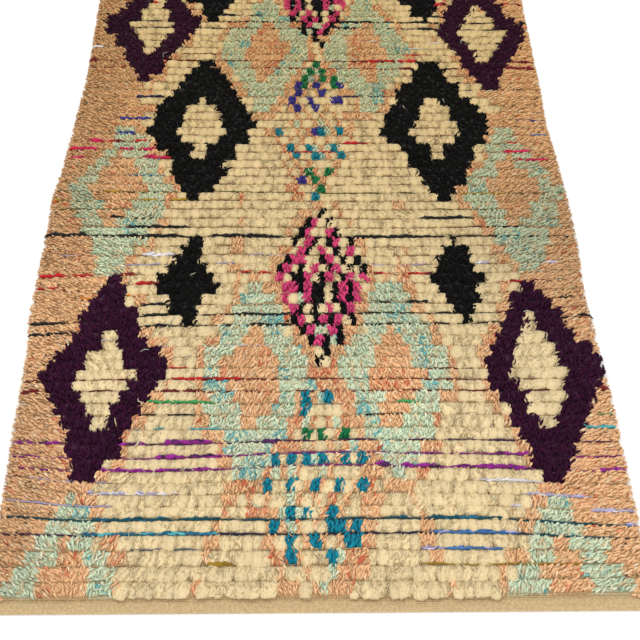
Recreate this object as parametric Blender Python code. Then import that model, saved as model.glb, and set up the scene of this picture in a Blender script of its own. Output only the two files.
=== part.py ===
"""Boujad runner rug: knotted wool pile on a woven ground, in one piece, lying flat.

Metres, +Z up. The width runs along X and the length along Y, with the near end at -Y. The origin
is the middle of the underside. The knots stand in rows across the width. Each row is a low rib:
it rises steeply from the line of weft behind it, and its pile leans over towards the near end.
At the sides each rib ends in a lock of pile that hangs over the selvedge, so the outline is as
uneven as that of the real rug. A flat-woven band finishes each end.
"""

import math

import bmesh
import bpy
from mathutils import Vector, noise

NAME = "rug"
LENGTH = 2.75
END_BAND = 0.028  # flat-woven band at each end, part of the same cloth
BAND_THICKNESS = 0.0035
BAND_INSET = 0.008  # how far the selvedge lies inside the reach of the pile

ROWS = 98  # rows of knots, one rib each
ROW_PITCH = (LENGTH - 2 * END_BAND) / ROWS
CREST_PLACE = 0.52  # where a rib's crest lies between its front and the weft behind it
CREST_HEIGHT = 0.0180
VALLEY_HEIGHT = 0.0095
FRONT_HEIGHT = 0.0135  # cut ends of the first row, above the near band
LUMP_HEIGHT = 0.0017  # rise and fall of the pile along a row
LUMP_LENGTH = 0.07
LUMP_CHANGE = 0.9  # how much the lumps of one row differ from those of the next
ROW_WANDER = 0.0034  # how far a row strays from a straight line
WANDER_LENGTH = 0.3
WANDER_CHANGE = 0.25

COLUMNS = 20  # steps across the width
SHOULDER = 0.016  # how far in from the edge the pile reaches its full height
LOCK_REACH = 0.010  # how far a lock stands out past the weft between two rows
LOCK_SPREAD = 0.006  # unevenness of the locks
LOCK_CHANGE = 1.3
LOCK_HEIGHT = 0.0072
EDGE_VALLEY_HEIGHT = 0.0050
UNDERCUT = 0.004  # the locks overhang the selvedge by this much
FRONT_LOCK_REACH = 0.004  # unevenness of the first and last row along Y
FRONT_LOCK_LENGTH = 0.04

# The outline, from the near end to the far end. Columns: distance from the near end,
# x of the left edge, x of the right edge.
OUTLINE = (
    (0.00, -0.582, 0.600),
    (0.24, -0.582, 0.603),
    (0.39, -0.589, 0.606),
    (0.56, -0.592, 0.602),
    (0.66, -0.604, 0.598),
    (0.86, -0.605, 0.608),
    (0.97, -0.609, 0.609),
    (1.09, -0.599, 0.605),
    (1.22, -0.593, 0.599),
    (1.40, -0.588, 0.604),
    (1.75, -0.596, 0.607),
    (2.10, -0.591, 0.602),
    (2.45, -0.598, 0.599),
    (2.75, -0.589, 0.594),
)

WOOL_COLOUR = (0.68, 0.52, 0.31, 1.0)
WOOL_ROUGHNESS = 0.95


def clear_scene() -> None:
    """Removes every object of the open scene."""
    for obj in list(bpy.data.objects):
        bpy.data.objects.remove(obj, do_unlink=True)


def wool_material() -> bpy.types.Material:
    """The cream wool that most of the pile is knotted from."""
    material = bpy.data.materials.new("cream_wool")
    material.use_nodes = True
    shader = material.node_tree.nodes["Principled BSDF"]
    shader.inputs["Base Color"].default_value = WOOL_COLOUR
    shader.inputs["Roughness"].default_value = WOOL_ROUGHNESS
    shader.inputs["Metallic"].default_value = 0.0
    return material


def edges_at(distance: float) -> tuple[float, float]:
    """x of the left and of the right edge at a distance from the near end, eased between rows of OUTLINE."""
    for start, end in zip(OUTLINE, OUTLINE[1:]):
        if distance <= end[0]:
            break
    share = min(max((distance - start[0]) / (end[0] - start[0]), 0.0), 1.0)
    eased = share * share * (3.0 - 2.0 * share)
    return tuple(a + (b - a) * eased for a, b in zip(start[1:], end[1:]))


def uneven(across: float, along: float, layer: int) -> float:
    """A smooth, repeatable number between -1 and 1, with no period. Each layer has its own pattern."""
    value = 1.7 * noise.noise(Vector((across, along, 7.3 * layer)))
    return min(max(value, -1.0), 1.0)


def cross_lines() -> list[tuple[str, float, float]]:
    """The lines across the rug, near to far: what each is, its distance from the near end, its height."""
    lines = [
        ("band", 0.0, BAND_THICKNESS),
        ("band", END_BAND - FRONT_LOCK_REACH, BAND_THICKNESS),
        ("front", END_BAND + FRONT_LOCK_REACH, FRONT_HEIGHT),
    ]
    for row in range(ROWS):
        front = END_BAND + row * ROW_PITCH
        lines.append(("crest", front + CREST_PLACE * ROW_PITCH, CREST_HEIGHT))
        if row < ROWS - 1:
            lines.append(("valley", front + ROW_PITCH, VALLEY_HEIGHT))
    lines.append(("front", LENGTH - END_BAND - FRONT_LOCK_REACH, FRONT_HEIGHT))
    lines.append(("band", LENGTH - END_BAND + FRONT_LOCK_REACH, BAND_THICKNESS))
    lines.append(("band", LENGTH, BAND_THICKNESS))
    return lines


def column_place(column: int, left: float, right: float) -> float:
    """x of a column: the outermost at the edges, the next a shoulder inside, the rest spread evenly."""
    if column == 0:
        return left
    if column == COLUMNS:
        return right
    inner_left, inner_right = left + SHOULDER, right - SHOULDER
    return inner_left + (inner_right - inner_left) * (column - 1) / (COLUMNS - 2)


def inset_of(kind: str, side: int, distance: float) -> float:
    """How far inside the outline a line across the rug ends, at the left (-1) or the right (+1) side."""
    if kind == "band":
        return BAND_INSET
    if kind == "crest":
        return LOCK_SPREAD * (1.0 + uneven(side, LOCK_CHANGE * distance / ROW_PITCH, 1)) / 2
    return LOCK_REACH


def place_on_top(kind: str, column: int, distance: float, height: float) -> tuple[float, float, float]:
    """The point of the top surface where a line across the rug meets a column."""
    left, right = edges_at(distance)
    x = column_place(column, left + inset_of(kind, -1, distance), right - inset_of(kind, 1, distance))
    y = distance - LENGTH / 2
    if kind == "band":
        return x, y, height
    row = distance / ROW_PITCH
    if kind == "front":
        y += FRONT_LOCK_REACH * uneven(x / FRONT_LOCK_LENGTH, row, 2)
    else:
        y += ROW_WANDER * uneven(x / WANDER_LENGTH, WANDER_CHANGE * row, 3)
    if column in (0, COLUMNS):
        return x, y, LOCK_HEIGHT if kind == "crest" else EDGE_VALLEY_HEIGHT
    return x, y, height + LUMP_HEIGHT * uneven(x / LUMP_LENGTH, LUMP_CHANGE * row, 4)


def pile_top() -> bmesh.types.BMesh:
    """The upper surface of the rug, bands and ribs, as an open grid."""
    lines = cross_lines()
    mesh = bmesh.new()
    bmesh.ops.create_grid(mesh, x_segments=COLUMNS, y_segments=len(lines) - 1, size=1.0)
    for vertex in mesh.verts:
        column = round((vertex.co.x + 1.0) / 2.0 * COLUMNS)
        line = round((vertex.co.y + 1.0) / 2.0 * (len(lines) - 1))
        kind, distance, height = lines[line]
        vertex.co = place_on_top(kind, column, distance, height)
    return mesh


def close_below(mesh: bmesh.types.BMesh) -> None:
    """Brings the rim down to the floor, tucked in under the locks, and closes the flat underside."""
    rim = [edge for edge in mesh.edges if edge.is_boundary]
    extruded = bmesh.ops.extrude_edge_only(mesh, edges=rim)["geom"]
    for vertex in extruded:
        if not isinstance(vertex, bmesh.types.BMVert):
            continue
        if vertex.co.z > (BAND_THICKNESS + EDGE_VALLEY_HEIGHT) / 2:
            vertex.co.x -= math.copysign(UNDERCUT, vertex.co.x)
        vertex.co.z = 0.0
    lower_rim = [item for item in extruded if isinstance(item, bmesh.types.BMEdge)]
    bmesh.ops.contextual_create(mesh, geom=lower_rim)
    bmesh.ops.recalc_face_normals(mesh, faces=mesh.faces)


def centre_on_origin(mesh: bmesh.types.BMesh) -> None:
    """Moves the mesh so that the middle of its box lies over the origin."""
    for axis in (0, 1):
        places = [vertex.co[axis] for vertex in mesh.verts]
        middle = (min(places) + max(places)) / 2
        for vertex in mesh.verts:
            vertex.co[axis] -= middle


def make_rug(collection: bpy.types.Collection) -> bpy.types.Object:
    """The whole rug as one closed solid."""
    mesh = pile_top()
    close_below(mesh)
    centre_on_origin(mesh)
    data = bpy.data.meshes.new(NAME)
    mesh.to_mesh(data)
    mesh.free()
    data.shade_smooth()
    data.set_sharp_from_angle(angle=math.radians(60))
    data.materials.append(wool_material())
    rug = bpy.data.objects.new(NAME, data)
    collection.objects.link(rug)
    return rug


def main() -> None:
    """Builds the rug in a collection of its own."""
    clear_scene()
    collection = bpy.data.collections.new("boujad_runner_rug")
    bpy.context.scene.collection.children.link(collection)
    make_rug(collection)


main()
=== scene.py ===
"""Looks of the Boujad runner rug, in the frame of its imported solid.

Metres, +Z up. The width runs along X, and the length along Y from the near end at -Y. The wool
pile is knotted in 98 rows of 78 knots. Each knot's ends rise at the far side of their row and lean
over towards the near end, and a line of coloured weft shows between one row and the next. A chart
says which wool each knot is tied from, and motifs paint the chart.
"""

import logging
import math
from collections.abc import Callable
from dataclasses import dataclass, field, replace
from enum import Enum, IntEnum

import bmesh
import bpy
import numpy as np
from mathutils import Matrix, Vector, noise

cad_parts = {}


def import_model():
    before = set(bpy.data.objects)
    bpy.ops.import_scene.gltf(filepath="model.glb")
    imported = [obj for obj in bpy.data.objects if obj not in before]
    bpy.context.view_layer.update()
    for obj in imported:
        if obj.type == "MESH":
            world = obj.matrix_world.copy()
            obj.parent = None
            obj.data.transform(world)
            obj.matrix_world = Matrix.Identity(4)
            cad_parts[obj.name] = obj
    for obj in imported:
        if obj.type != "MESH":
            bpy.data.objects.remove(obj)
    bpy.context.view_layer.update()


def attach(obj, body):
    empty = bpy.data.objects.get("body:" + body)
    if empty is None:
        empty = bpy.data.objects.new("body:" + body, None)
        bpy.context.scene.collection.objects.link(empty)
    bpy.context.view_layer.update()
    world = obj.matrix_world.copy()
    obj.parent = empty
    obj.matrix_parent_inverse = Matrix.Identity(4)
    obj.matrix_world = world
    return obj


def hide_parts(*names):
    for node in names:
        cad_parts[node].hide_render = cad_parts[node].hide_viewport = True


LOG = logging.getLogger("boujad_rug")
SLAB = "rug"
BODY = "root"
COLOUR = "yarn_colour"
STRAND_MAP = "strand"
BAKE_MAP = "OFBake"
FLOOR_GAP = 0.0004
NOISE_GAIN = 1.7
NOISE_LAYER_STEP = 7.3
TIP_ROWS = 6
LEFT_MARGIN = -0.43
RIGHT_MARGIN = 0.47


class Yarn(Enum):
    """The wools that the pile is knotted from."""

    CREAM = 0
    PEACH = 1
    CELADON = 2
    BLACK = 3
    AUBERGINE = 4
    TEAL = 5
    GREEN = 6
    INDIGO = 7
    PINK = 8


class Layer(IntEnum):
    """The patterns of unevenness. Each has a layer of the noise to itself, and DYE the ones after it."""

    WANDER = 3
    LUMPS = 4
    DRIFT = 9
    SWELL = 12
    SWAY = 14
    PARTING = 15
    DYE = 20


def linear(shade: str) -> np.ndarray:
    """A colour given as sRGB hex, in linear light."""
    channels = np.array([int(shade[i : i + 2], 16) / 255 for i in (0, 2, 4)])
    return np.where(channels < 0.04045, channels / 12.92, ((channels + 0.055) / 1.055) ** 2.4)


@dataclass(frozen=True)
class Dye:
    """The colours of a wool.

    others lists the shades mixed in: shade, share of the strands, and whether they come in patches.
    Patches are fainter in the side margins than in the field.
    """

    shade: str
    spread: float = 0.06
    others: tuple[tuple[str, float, bool], ...] = ()
    patch_length: float = 0.05
    patch_change: float = 0.5
    patch_start: float = 0.12
    patch_rise: float = 7.0
    patch_limit: float = 0.9
    margin: float = 0.44
    margin_strength: float = 0.2
    field_strength: float = 0.8
    knot_spread: float = 0.6

    def strand_colours(self, x: np.ndarray, row: np.ndarray, strands: int,
                       rng: np.random.Generator, mixed: bool = True) -> np.ndarray:
        """Gives each strand of a number of knots its colour.

        Args:
            x: Where the knots sit across the rug.
            row: The row of each knot.
            strands: How many strands each knot has.
            rng: The source of the unevenness.
            mixed: Whether the other shades are mixed in.

        Returns:
            Linear colours, by knot, strand and channel.
        """
        shape = (len(x), strands)
        made = np.broadcast_to(linear(self.shade), (*shape, 3)).copy()
        for layer, (shade, share, patchy) in enumerate(self.others if mixed else ()):
            chance = np.full(len(x), share)
            if patchy:
                drift = uneven_places(x / self.patch_length, row * self.patch_change, Layer.DYE + layer)
                calm = np.where(np.abs(x) > self.margin, self.margin_strength, self.field_strength)
                rise = (drift - self.patch_start) * self.patch_rise * share
                chance = np.clip(rise, 0, self.patch_limit) * calm
            chosen = rng.random(shape) < chance[:, None]
            strength = rng.uniform(0.5, 1.0, (*shape, 1))
            made = np.where(chosen[..., None], made + (linear(shade) - made) * strength, made)
        light = rng.normal(1.0, self.spread, (*shape, 1))
        light = light * rng.normal(1.0, self.spread * self.knot_spread, (len(x), 1, 1))
        return np.clip(made * light, 0.0, 1.0)


DYES = {
    Yarn.CREAM: Dye(
        "DAC497",
        0.035,
        (("E4D6B2", 0.15, False), ("C8AE84", 0.10, False), ("D5AC80", 0.06, True)),
    ),
    Yarn.PEACH: Dye(
        "F4C290",
        0.040,
        (("F8DCB4", 0.12, False), ("D9A776", 0.16, False), ("E58E66", 0.16, True), ("D2603C", 0.07, True)),
    ),
    Yarn.CELADON: Dye(
        "D7E3C2",
        0.045,
        (("EEE6C8", 0.20, False), ("B2CDB2", 0.14, False), ("E2C292", 0.14, False), ("5AB2B8", 0.19, True)),
    ),
    Yarn.BLACK: Dye("0E0D0B", 0.12),
    Yarn.AUBERGINE: Dye("380D2C", 0.12),
    Yarn.TEAL: Dye("078399", 0.06),
    Yarn.GREEN: Dye("0E7A45", 0.08),
    Yarn.INDIGO: Dye("3A3493", 0.08),
    Yarn.PINK: Dye("E0457F", 0.06),
}


def uneven(across: float, along: float, layer: int) -> float:
    """A smooth, repeatable number between -1 and 1, with no period. Each layer has its own pattern."""
    value = NOISE_GAIN * noise.noise(Vector((across, along, NOISE_LAYER_STEP * layer)))
    return min(max(value, -1.0), 1.0)


def uneven_places(across: np.ndarray, along: np.ndarray | float, layer: int) -> np.ndarray:
    """What uneven gives at many places. along is a single number where they share it."""
    return np.array([uneven(a, b, layer) for a, b in zip(across, np.broadcast_to(along, across.shape))])


@dataclass(frozen=True)
class Bump:
    """A soft change over part of the rug: its middle, how far it reaches, and its amount there."""

    x: float
    distance: float
    reach_across: float
    reach_along: float
    amount: float

    def at(self, x: float | np.ndarray, distance: float | np.ndarray) -> float | np.ndarray:
        """The amount at a place."""
        across = (x - self.x) / self.reach_across
        along = (distance - self.distance) / self.reach_along
        return self.amount * np.exp(-across * across - along * along)


@dataclass(frozen=True)
class Loom:
    """The sizes that every piece of the rug shares.

    The length, the bands, the rows, their wander and the outline are those of the solid. The pulls,
    which bend rows out of line, are in the looks only. So are the tan of the wool towards the far end
    and the painted light and shade on it: painted shade darkens the left margin and the patches whose
    amount is above 0, and painted light lightens the patches whose amount is below 0.
    """

    length: float = 2.75
    end_band: float = 0.028
    rows: int = 98
    knots: int = 78
    usual_width: float = 1.2
    row_wander: float = 0.0034
    wander_length: float = 0.3
    wander_change: float = 0.25
    pulls: tuple[Bump, ...] = (
        Bump(-0.60, 0.62, 0.20, 0.13, -0.030),
        Bump(0.62, 0.62, 0.18, 0.13, 0.017),
        Bump(-0.60, 0.205, 0.12, 0.06, 0.017),
        Bump(-0.36, 0.30, 0.28, 0.075, -0.011),
        Bump(0.58, 0.22, 0.17, 0.13, -0.013),
        Bump(0.0, 1.05, 1.5, 0.30, -0.010),
    )
    # Painted light and shade: soft patches that darken the wool, and lighten it where an amount is below 0.
    painted_light_and_shade: tuple[Bump, ...] = (
        Bump(0.56, 0.88, 0.20, 0.27, 0.25),
        Bump(-0.56, 0.60, 0.16, 0.22, -0.18),
        Bump(0.16, 0.42, 0.07, 0.10, -0.15),
        Bump(0.0, 0.18, 0.45, 0.14, -0.05),
        Bump(0.0, 0.95, 0.5, 0.45, 0.035),
    )
    # Painted shade at the left margin: how much darker it is, where it begins, and how wide it fades in.
    left_painted_shade: float = 0.13
    left_painted_shade_from: float = -0.47
    left_painted_shade_width: float = 0.06
    tan: tuple[float, float, float] = (0.16, 0.225, 0.38)
    tan_from: float = 0.45
    tan_reach: float = 1.0
    selvedge: float = 0.0020
    rim_width: float = 0.017
    rim_drop: float = 0.62
    rim_limit: float = 1.2
    outline: tuple[tuple[float, float, float], ...] = (
        (0.00, -0.582, 0.600),
        (0.24, -0.582, 0.603),
        (0.39, -0.589, 0.606),
        (0.56, -0.592, 0.602),
        (0.66, -0.604, 0.598),
        (0.86, -0.605, 0.608),
        (0.97, -0.609, 0.609),
        (1.09, -0.599, 0.605),
        (1.22, -0.593, 0.599),
        (1.40, -0.588, 0.604),
        (1.75, -0.596, 0.607),
        (2.10, -0.591, 0.602),
        (2.45, -0.598, 0.599),
        (2.75, -0.589, 0.594),
    )

    @property
    def pitch(self) -> float:
        """The distance from one row to the next."""
        return (self.length - 2 * self.end_band) / self.rows

    @property
    def knot_width(self) -> float:
        """The usual distance from one knot to the next."""
        return self.usual_width / self.knots

    def edges(self, distance: np.ndarray) -> tuple[np.ndarray, np.ndarray]:
        """x of the left and of the right edge, at distances from the near end."""
        places, left, right = np.array(self.outline).T
        index = np.clip(np.searchsorted(places, distance) - 1, 0, len(places) - 2)
        share = np.clip((distance - places[index]) / (places[index + 1] - places[index]), 0, 1)
        eased = share * share * (3 - 2 * share)
        return (
            left[index] + (left[index + 1] - left[index]) * eased,
            right[index] + (right[index + 1] - right[index]) * eased,
        )

    def line_place(self, x: float, line: float) -> float:
        """y of a weft line at x. Line 0 lies before the first row, and line 98 behind the last."""
        stray = uneven(x / self.wander_length, self.wander_change * (line + 1), Layer.WANDER)
        along = self.end_band + line * self.pitch
        pulled = sum(pull.at(x, along) for pull in self.pulls)
        return along - self.length / 2 + self.row_wander * stray + pulled

    def row_at(self, x: float, y: float) -> int:
        """The row of knots at a place."""
        row = int((y + self.length / 2 - self.end_band) // self.pitch)
        while row > 0 and y < self.line_place(x, row):
            row -= 1
        while row < self.rows - 1 and y >= self.line_place(x, row + 1):
            row += 1
        return min(max(row, 0), self.rows - 1)

    def tan_and_painted_shade(self, x: np.ndarray, distance: np.ndarray) -> np.ndarray:
        """How the wool's colour changes at some places: more tan towards the far end, with painted shade at
        the left margin, and painted light and shade in soft patches.

        Args:
            x: The places across the rug.
            distance: Their distances from the near end.

        Returns:
            The factors for red, green and blue, in a last axis.
        """
        tan = np.clip((distance - self.tan_from) / self.tan_reach, 0, 1)[..., None]
        # Painted shade at the left margin, then the painted light and shade of the patches.
        painted_light_and_shade = self.left_painted_shade * np.clip((self.left_painted_shade_from - x) / self.left_painted_shade_width, 0, 1)
        painted_light_and_shade = painted_light_and_shade + sum(bump.at(x, distance) for bump in self.painted_light_and_shade)
        return (1 - tan * np.array(self.tan)) * (1 - painted_light_and_shade[..., None])

    def rim_fall(self, x: np.ndarray, distance: np.ndarray) -> np.ndarray:
        """How near to the rug's sides places lie, from 0 in the field to 1 at the edge."""
        left, right = self.edges(distance)
        return np.clip(1 - np.minimum(x - left, right - x) / self.rim_width, 0, self.rim_limit)

    def knot_places(self) -> tuple[np.ndarray, np.ndarray]:
        """Where the knots sit.

        Returns:
            x of each knot and its distance from the near end, both by row and knot.
        """
        distance = self.end_band + (np.arange(self.rows)[:, None] + 0.5) * self.pitch
        left, right = self.edges(distance)
        share = (np.arange(self.knots)[None, :] + 0.5) / self.knots
        x = left + self.selvedge + (right - left - 2 * self.selvedge) * share
        return x, np.broadcast_to(distance, x.shape)


class Chart:
    """The knotting chart: which wool each knot is tied from."""

    def __init__(self, loom: Loom, seed: int) -> None:
        """Starts with a plain cream field.

        Args:
            loom: The sizes of the rug.
            seed: The seed of the weaver's unevenness.
        """
        self.loom = loom
        self.rng = np.random.default_rng(seed)
        self.x, self.distance = loom.knot_places()
        self.yarns = np.full(self.x.shape, Yarn.CREAM.value)
        self.row, self.knot = np.indices(self.x.shape)

    def jagged(self, amount: float) -> np.ndarray:
        """A sideways shift for the left and right half of each row, as a weaver's miscounts make.

        Args:
            amount: The usual shift, in knots.

        Returns:
            The shifts in metres, by row and side.
        """
        return self.rng.normal(0, amount * self.loom.knot_width, (self.loom.rows, 2))

    def knot_at(self, row: int, x: float) -> int:
        """The knot of a row that sits nearest to x."""
        return int(np.argmin(np.abs(self.x[row] - x)))

    def paint(self, where: np.ndarray, yarn: Yarn) -> None:
        """Ties the knots of a mask from one wool."""
        self.yarns[where] = yarn.value

    def stepped(self, x: float, first_row: int, steps: tuple[float, ...], jag: float,
                tips: tuple[float, float] = (0.0, 0.0)) -> np.ndarray:
        """The knots of a stepped diamond.

        Args:
            x: The middle of the diamond.
            first_row: Its nearest row.
            steps: How many knots it reaches to each side, row by row from near to far.
            jag: The weaver's usual miscount, in knots.
            tips: How far its near and its far tip lie to the right of its middle.

        Returns:
            A mask by row and knot.
        """
        width = self.loom.knot_width
        miscount = self.jagged(jag)
        inside = np.zeros(self.x.shape, bool)
        for row, reach in enumerate(steps, first_row):
            if 0 <= row < self.loom.rows:
                nearness = max(1 - (row - first_row) / TIP_ROWS, 0)
                farness = max(1 - (first_row + len(steps) - 1 - row) / TIP_ROWS, 0)
                across = self.x[row] - x - tips[0] * nearness - tips[1] * farness
                limit = (reach + 0.5) * width + np.where(across < 0, *miscount[row])
                inside[row] = np.abs(across) <= limit
        return inside

    def grown(self, mask: np.ndarray, sideways: int) -> np.ndarray:
        """A mask with one row more at both tips and some knots more at both sides."""
        made = mask.copy()
        made[1:] |= mask[:-1]
        made[:-1] |= mask[1:]
        for _ in range(sideways):
            made[:, 1:] |= made[:, :-1].copy()
            made[:, :-1] |= made[:, 1:].copy()
        return made


@dataclass(frozen=True)
class Motif:
    """A stepped diamond of one wool.

    x is its middle in metres. steps says how many knots it reaches to each side, row by row from its
    first row on. outline is the width of the peach line round it, in knots.
    """

    x: float
    first_row: int
    steps: tuple[float, ...]
    yarn: Yarn = Yarn.CREAM
    outline: int = 0
    outline_share: float = 0.9
    jag: float = 0.3
    tips: tuple[float, float] = field(default=(0.0, 0.0), kw_only=True)

    def draw(self, chart: Chart) -> np.ndarray:
        """Paints the diamond and the peach line round it.

        Args:
            chart: The chart to paint.

        Returns:
            The knots of the diamond, as a mask.
        """
        inside = chart.stepped(self.x, self.first_row, self.steps, self.jag, self.tips)
        if self.outline:
            line = chart.grown(inside, self.outline) & (chart.yarns == Yarn.CREAM.value)
            line &= chart.rng.random(line.shape) < self.outline_share
            chart.paint(line, Yarn.PEACH)
        chart.paint(inside, self.yarn)
        return inside


@dataclass(frozen=True)
class Ring(Motif):
    """A stepped diamond with a core of another wool. core_row counts from the diamond's first row."""

    core_row: int = 4
    core: tuple[float, ...] = ()
    core_yarn: Yarn = Yarn.CREAM
    core_shift: float = 0.0

    def draw(self, chart: Chart) -> np.ndarray:
        """Paints the ring, then its core."""
        inside = super().draw(chart)
        core = chart.stepped(self.x + self.core_shift, self.first_row + self.core_row, self.core, self.jag)
        chart.paint(core, self.core_yarn)
        return inside


@dataclass(frozen=True)
class Checked(Motif):
    """The checked diamond of pink, black and cream knots, in rows charted from far to near."""

    rows: tuple[str, ...] = ()
    mirrored: bool = False

    def draw(self, chart: Chart) -> np.ndarray:
        """Paints the charted rows. A dot in a row leaves the knot as it is."""
        inside = super().draw(chart)
        letters = {"K": Yarn.BLACK, "P": Yarn.PINK, "C": Yarn.CREAM, "G": Yarn.CELADON}
        for row, charted in enumerate(self.rows[::-1], self.first_row):
            if not 0 <= row < chart.loom.rows:
                continue
            first = chart.knot_at(row, self.x) - len(charted) // 2
            for place, letter in enumerate(charted[::-1] if self.mirrored else charted):
                if letter in letters:
                    chart.yarns[row, first + place] = letters[letter].value
        return inside


@dataclass(frozen=True)
class Dotted(Motif):
    """A pale diamond with bright dots. dots lists rows from its first row on, wool and knots."""

    dots: tuple[tuple[int, Yarn, tuple[int, ...]], ...] = ()
    peach_share: float = 0.72
    celadon_share: float = 0.30

    def draw(self, chart: Chart) -> np.ndarray:
        """Paints the pale checks, then the dots."""
        inside = super().draw(chart)
        draw = chart.rng.random(inside.shape)
        parity = (chart.row + chart.knot) % 2 == 0
        chart.paint(inside & parity & (draw < self.peach_share), Yarn.PEACH)
        chart.paint(inside & ~parity & (draw < self.celadon_share), Yarn.CELADON)
        for offset, yarn, places in self.dots:
            row = self.first_row + offset
            if not 0 <= row < chart.loom.rows:
                continue
            centre = chart.knot_at(row, self.x)
            for place in places:
                chart.yarns[row, centre + place] = yarn.value
        return inside


@dataclass(frozen=True)
class Trail:
    """A thin, faint line of peach knots from one place to another, as (x, distance)."""

    start: tuple[float, float]
    end: tuple[float, float]
    width: float = 0.020
    share: float = 0.55
    jag: float = 0.3

    def draw(self, chart: Chart) -> None:
        """Paints the line over cream knots only."""
        (x0, d0), (x1, d1) = self.start, self.end
        share = np.clip((chart.distance - d0) / (d1 - d0), 0, 1)
        off = np.abs(chart.x - (x0 + (x1 - x0) * share)) + chart.jagged(self.jag)[:, :1]
        near = (chart.distance >= min(d0, d1)) & (chart.distance <= max(d0, d1))
        line = near & (off <= self.width / 2) & (chart.yarns == Yarn.CREAM.value)
        chart.paint(line & (chart.rng.random(line.shape) < self.share), Yarn.PEACH)


TEAL_DOTS = (
    (14, Yarn.TEAL, (-1, 2)),
    (13, Yarn.TEAL, (-1,)),
    (11, Yarn.GREEN, (-1, 1, 4)),
    (9, Yarn.TEAL, (-6, -5, -3, -1, 1, 4, 6)),
    (7, Yarn.TEAL, (-6, -3, 0, 3, 6)),
    (5, Yarn.TEAL, (-3, -1, 2)),
    (4, Yarn.TEAL, (-5, 2, 3, 5)),
    (3, Yarn.TEAL, (-3, 0, 4, 5)),
    (2, Yarn.TEAL, (-3, 2)),
)
MIXED_DOTS = (
    (0, Yarn.TEAL, (1,)),
    (1, Yarn.GREEN, (2,)),
    (2, Yarn.INDIGO, (-1,)),
    (2, Yarn.GREEN, (1,)),
    (3, Yarn.GREEN, (0, 3)),
    (5, Yarn.TEAL, (-2, 1, 5)),
    (6, Yarn.TEAL, (-3, 0, 4)),
    (8, Yarn.TEAL, (-5, 2, 5)),
    (8, Yarn.INDIGO, (1,)),
    (11, Yarn.INDIGO, (-2, 1)),
    (12, Yarn.INDIGO, (-3, 0, 4, 5)),
    (13, Yarn.INDIGO, (-2, 2)),
    (14, Yarn.INDIGO, (-2, 1, 5)),
    (14, Yarn.GREEN, (-1, 4)),
    (15, Yarn.GREEN, (-1, 2, 4)),
    (16, Yarn.GREEN, (0, 2)),
    (17, Yarn.GREEN, (1,)),
)
CHECKS = (
    "......K......",
    "....KPCK.....",
    "...KPCCPK....",
    "..KCPKCKPCK..",
    "..CPKCPCKCP..",
    ".KPPCCKPCKCK.",
    "KPCKCPCKPCKCK",
    "PCKKPCKPCKPCP",
    ".PPKPKKCKPKP.",
    ".PCGPKKCKPKP.",
    "..PKCKCPCKP..",
    "..KPCKPKPCK..",
    "...KPGGPK....",
    "....KPKGK....",
    "......K......",
    ".....K.......",
)
AUBERGINE_STEPS = (1, 1.5, 2.5, 3.5, 4, 5, 6, 7, 7.5, 7.5, 6, 5, 4, 3.5, 3, 2, 1.5, 0.5)
AUBERGINE_CORE = (0.5, 1, 2, 3, 3.5, 2.5, 2, 1, 0.5)
CELADON_STEPS = (1, 1.5, 2.5, 3.5, 4, 5, 5.5, 6.5, 7, 7, 6, 5, 4, 3, 2.5, 2, 1)
CELADON_CORE = (0.5, 1.5, 2, 3, 3.5, 3, 2, 1, 0.5)
BLACK_STEPS = (0.5, 1.5, 3, 3.5, 4, 5, 6, 7.5, 8, 8, 7.5, 7, 6, 5, 4, 3, 2, 1)
BLACK_CORE = (0.5, 1, 2.5, 3.5, 3, 2, 1.5, 0.5)
SMALL_STEPS = (0.5, 1.5, 2.5, 4, 4, 3, 2, 1, 0.5)
NARROW_STEPS = (0, 1, 2, 3, 3.5, 2.5, 2, 1, 0)
LOW_STEPS = (6.5, 5.5, 4.5, 4, 2.5, 1.5, 0.5)
LOW_CORE = (2.5, 2, 1, 0.5)
PEACH_STEPS = (6, 5.5, 4.5, 4, 3.5, 2.5, 2, 1)
PEACH_CORE = (4.5, 4, 3, 2.5, 2, 1.5, 1)
DOTTED_STEPS = (0.5, 1, 1.5, 2.5, 3, 4, 4.5, 5.5, 6, 6, 5.5, 4.5, 4, 3, 2.5, 1.5, 1, 0.5)
TEAL_STEPS = (1.5, 2.5, 3, 4, 4.5, 5, 6, 6, 6, 5.5, 5, 4, 3, 2.5, 1.5, 1)
CHECKED_STEPS = (0, 1, 2, 3, 4, 4.5, 5, 5.5, 6, 6, 5, 4.5, 4, 3, 2, 0.5)


def celadon_ring(x: float, first_row: int, steps: tuple[float, ...] = CELADON_STEPS,
                 core_row: int = 4, core: tuple[float, ...] = CELADON_CORE) -> Ring:
    """A celadon ring round a peach core, with a thin peach outline."""
    return Ring(
        x, first_row, steps, Yarn.CELADON, outline=1, outline_share=0.75, jag=0.4,
        core_row=core_row, core=core, core_yarn=Yarn.PEACH,
    )


def peach_ring(x: float) -> Ring:
    """The far tip of a peach ring that begins before the first row."""
    return Ring(x, 0, PEACH_STEPS, Yarn.PEACH, jag=0.4, core_row=0, core=PEACH_CORE)


def aubergine_ring(x: float, first_row: int) -> Ring:
    """An aubergine ring round a cream core, with a peach outline."""
    return Ring(
        x, first_row, AUBERGINE_STEPS, Yarn.AUBERGINE, outline=1, outline_share=0.7, jag=0.2,
        core=AUBERGINE_CORE,
    )


def black_ring(x: float, first_row: int) -> Ring:
    """A large black ring round a cream core."""
    return Ring(x, first_row, BLACK_STEPS, Yarn.BLACK, core_row=5, core=BLACK_CORE)


def checked(x: float, first_row: int, mirrored: bool = False) -> Checked:
    """The checked diamond, with a peach outline."""
    return Checked(
        x, first_row, CHECKED_STEPS, outline=1, outline_share=0.7, jag=0.2, rows=CHECKS, mirrored=mirrored
    )


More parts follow.
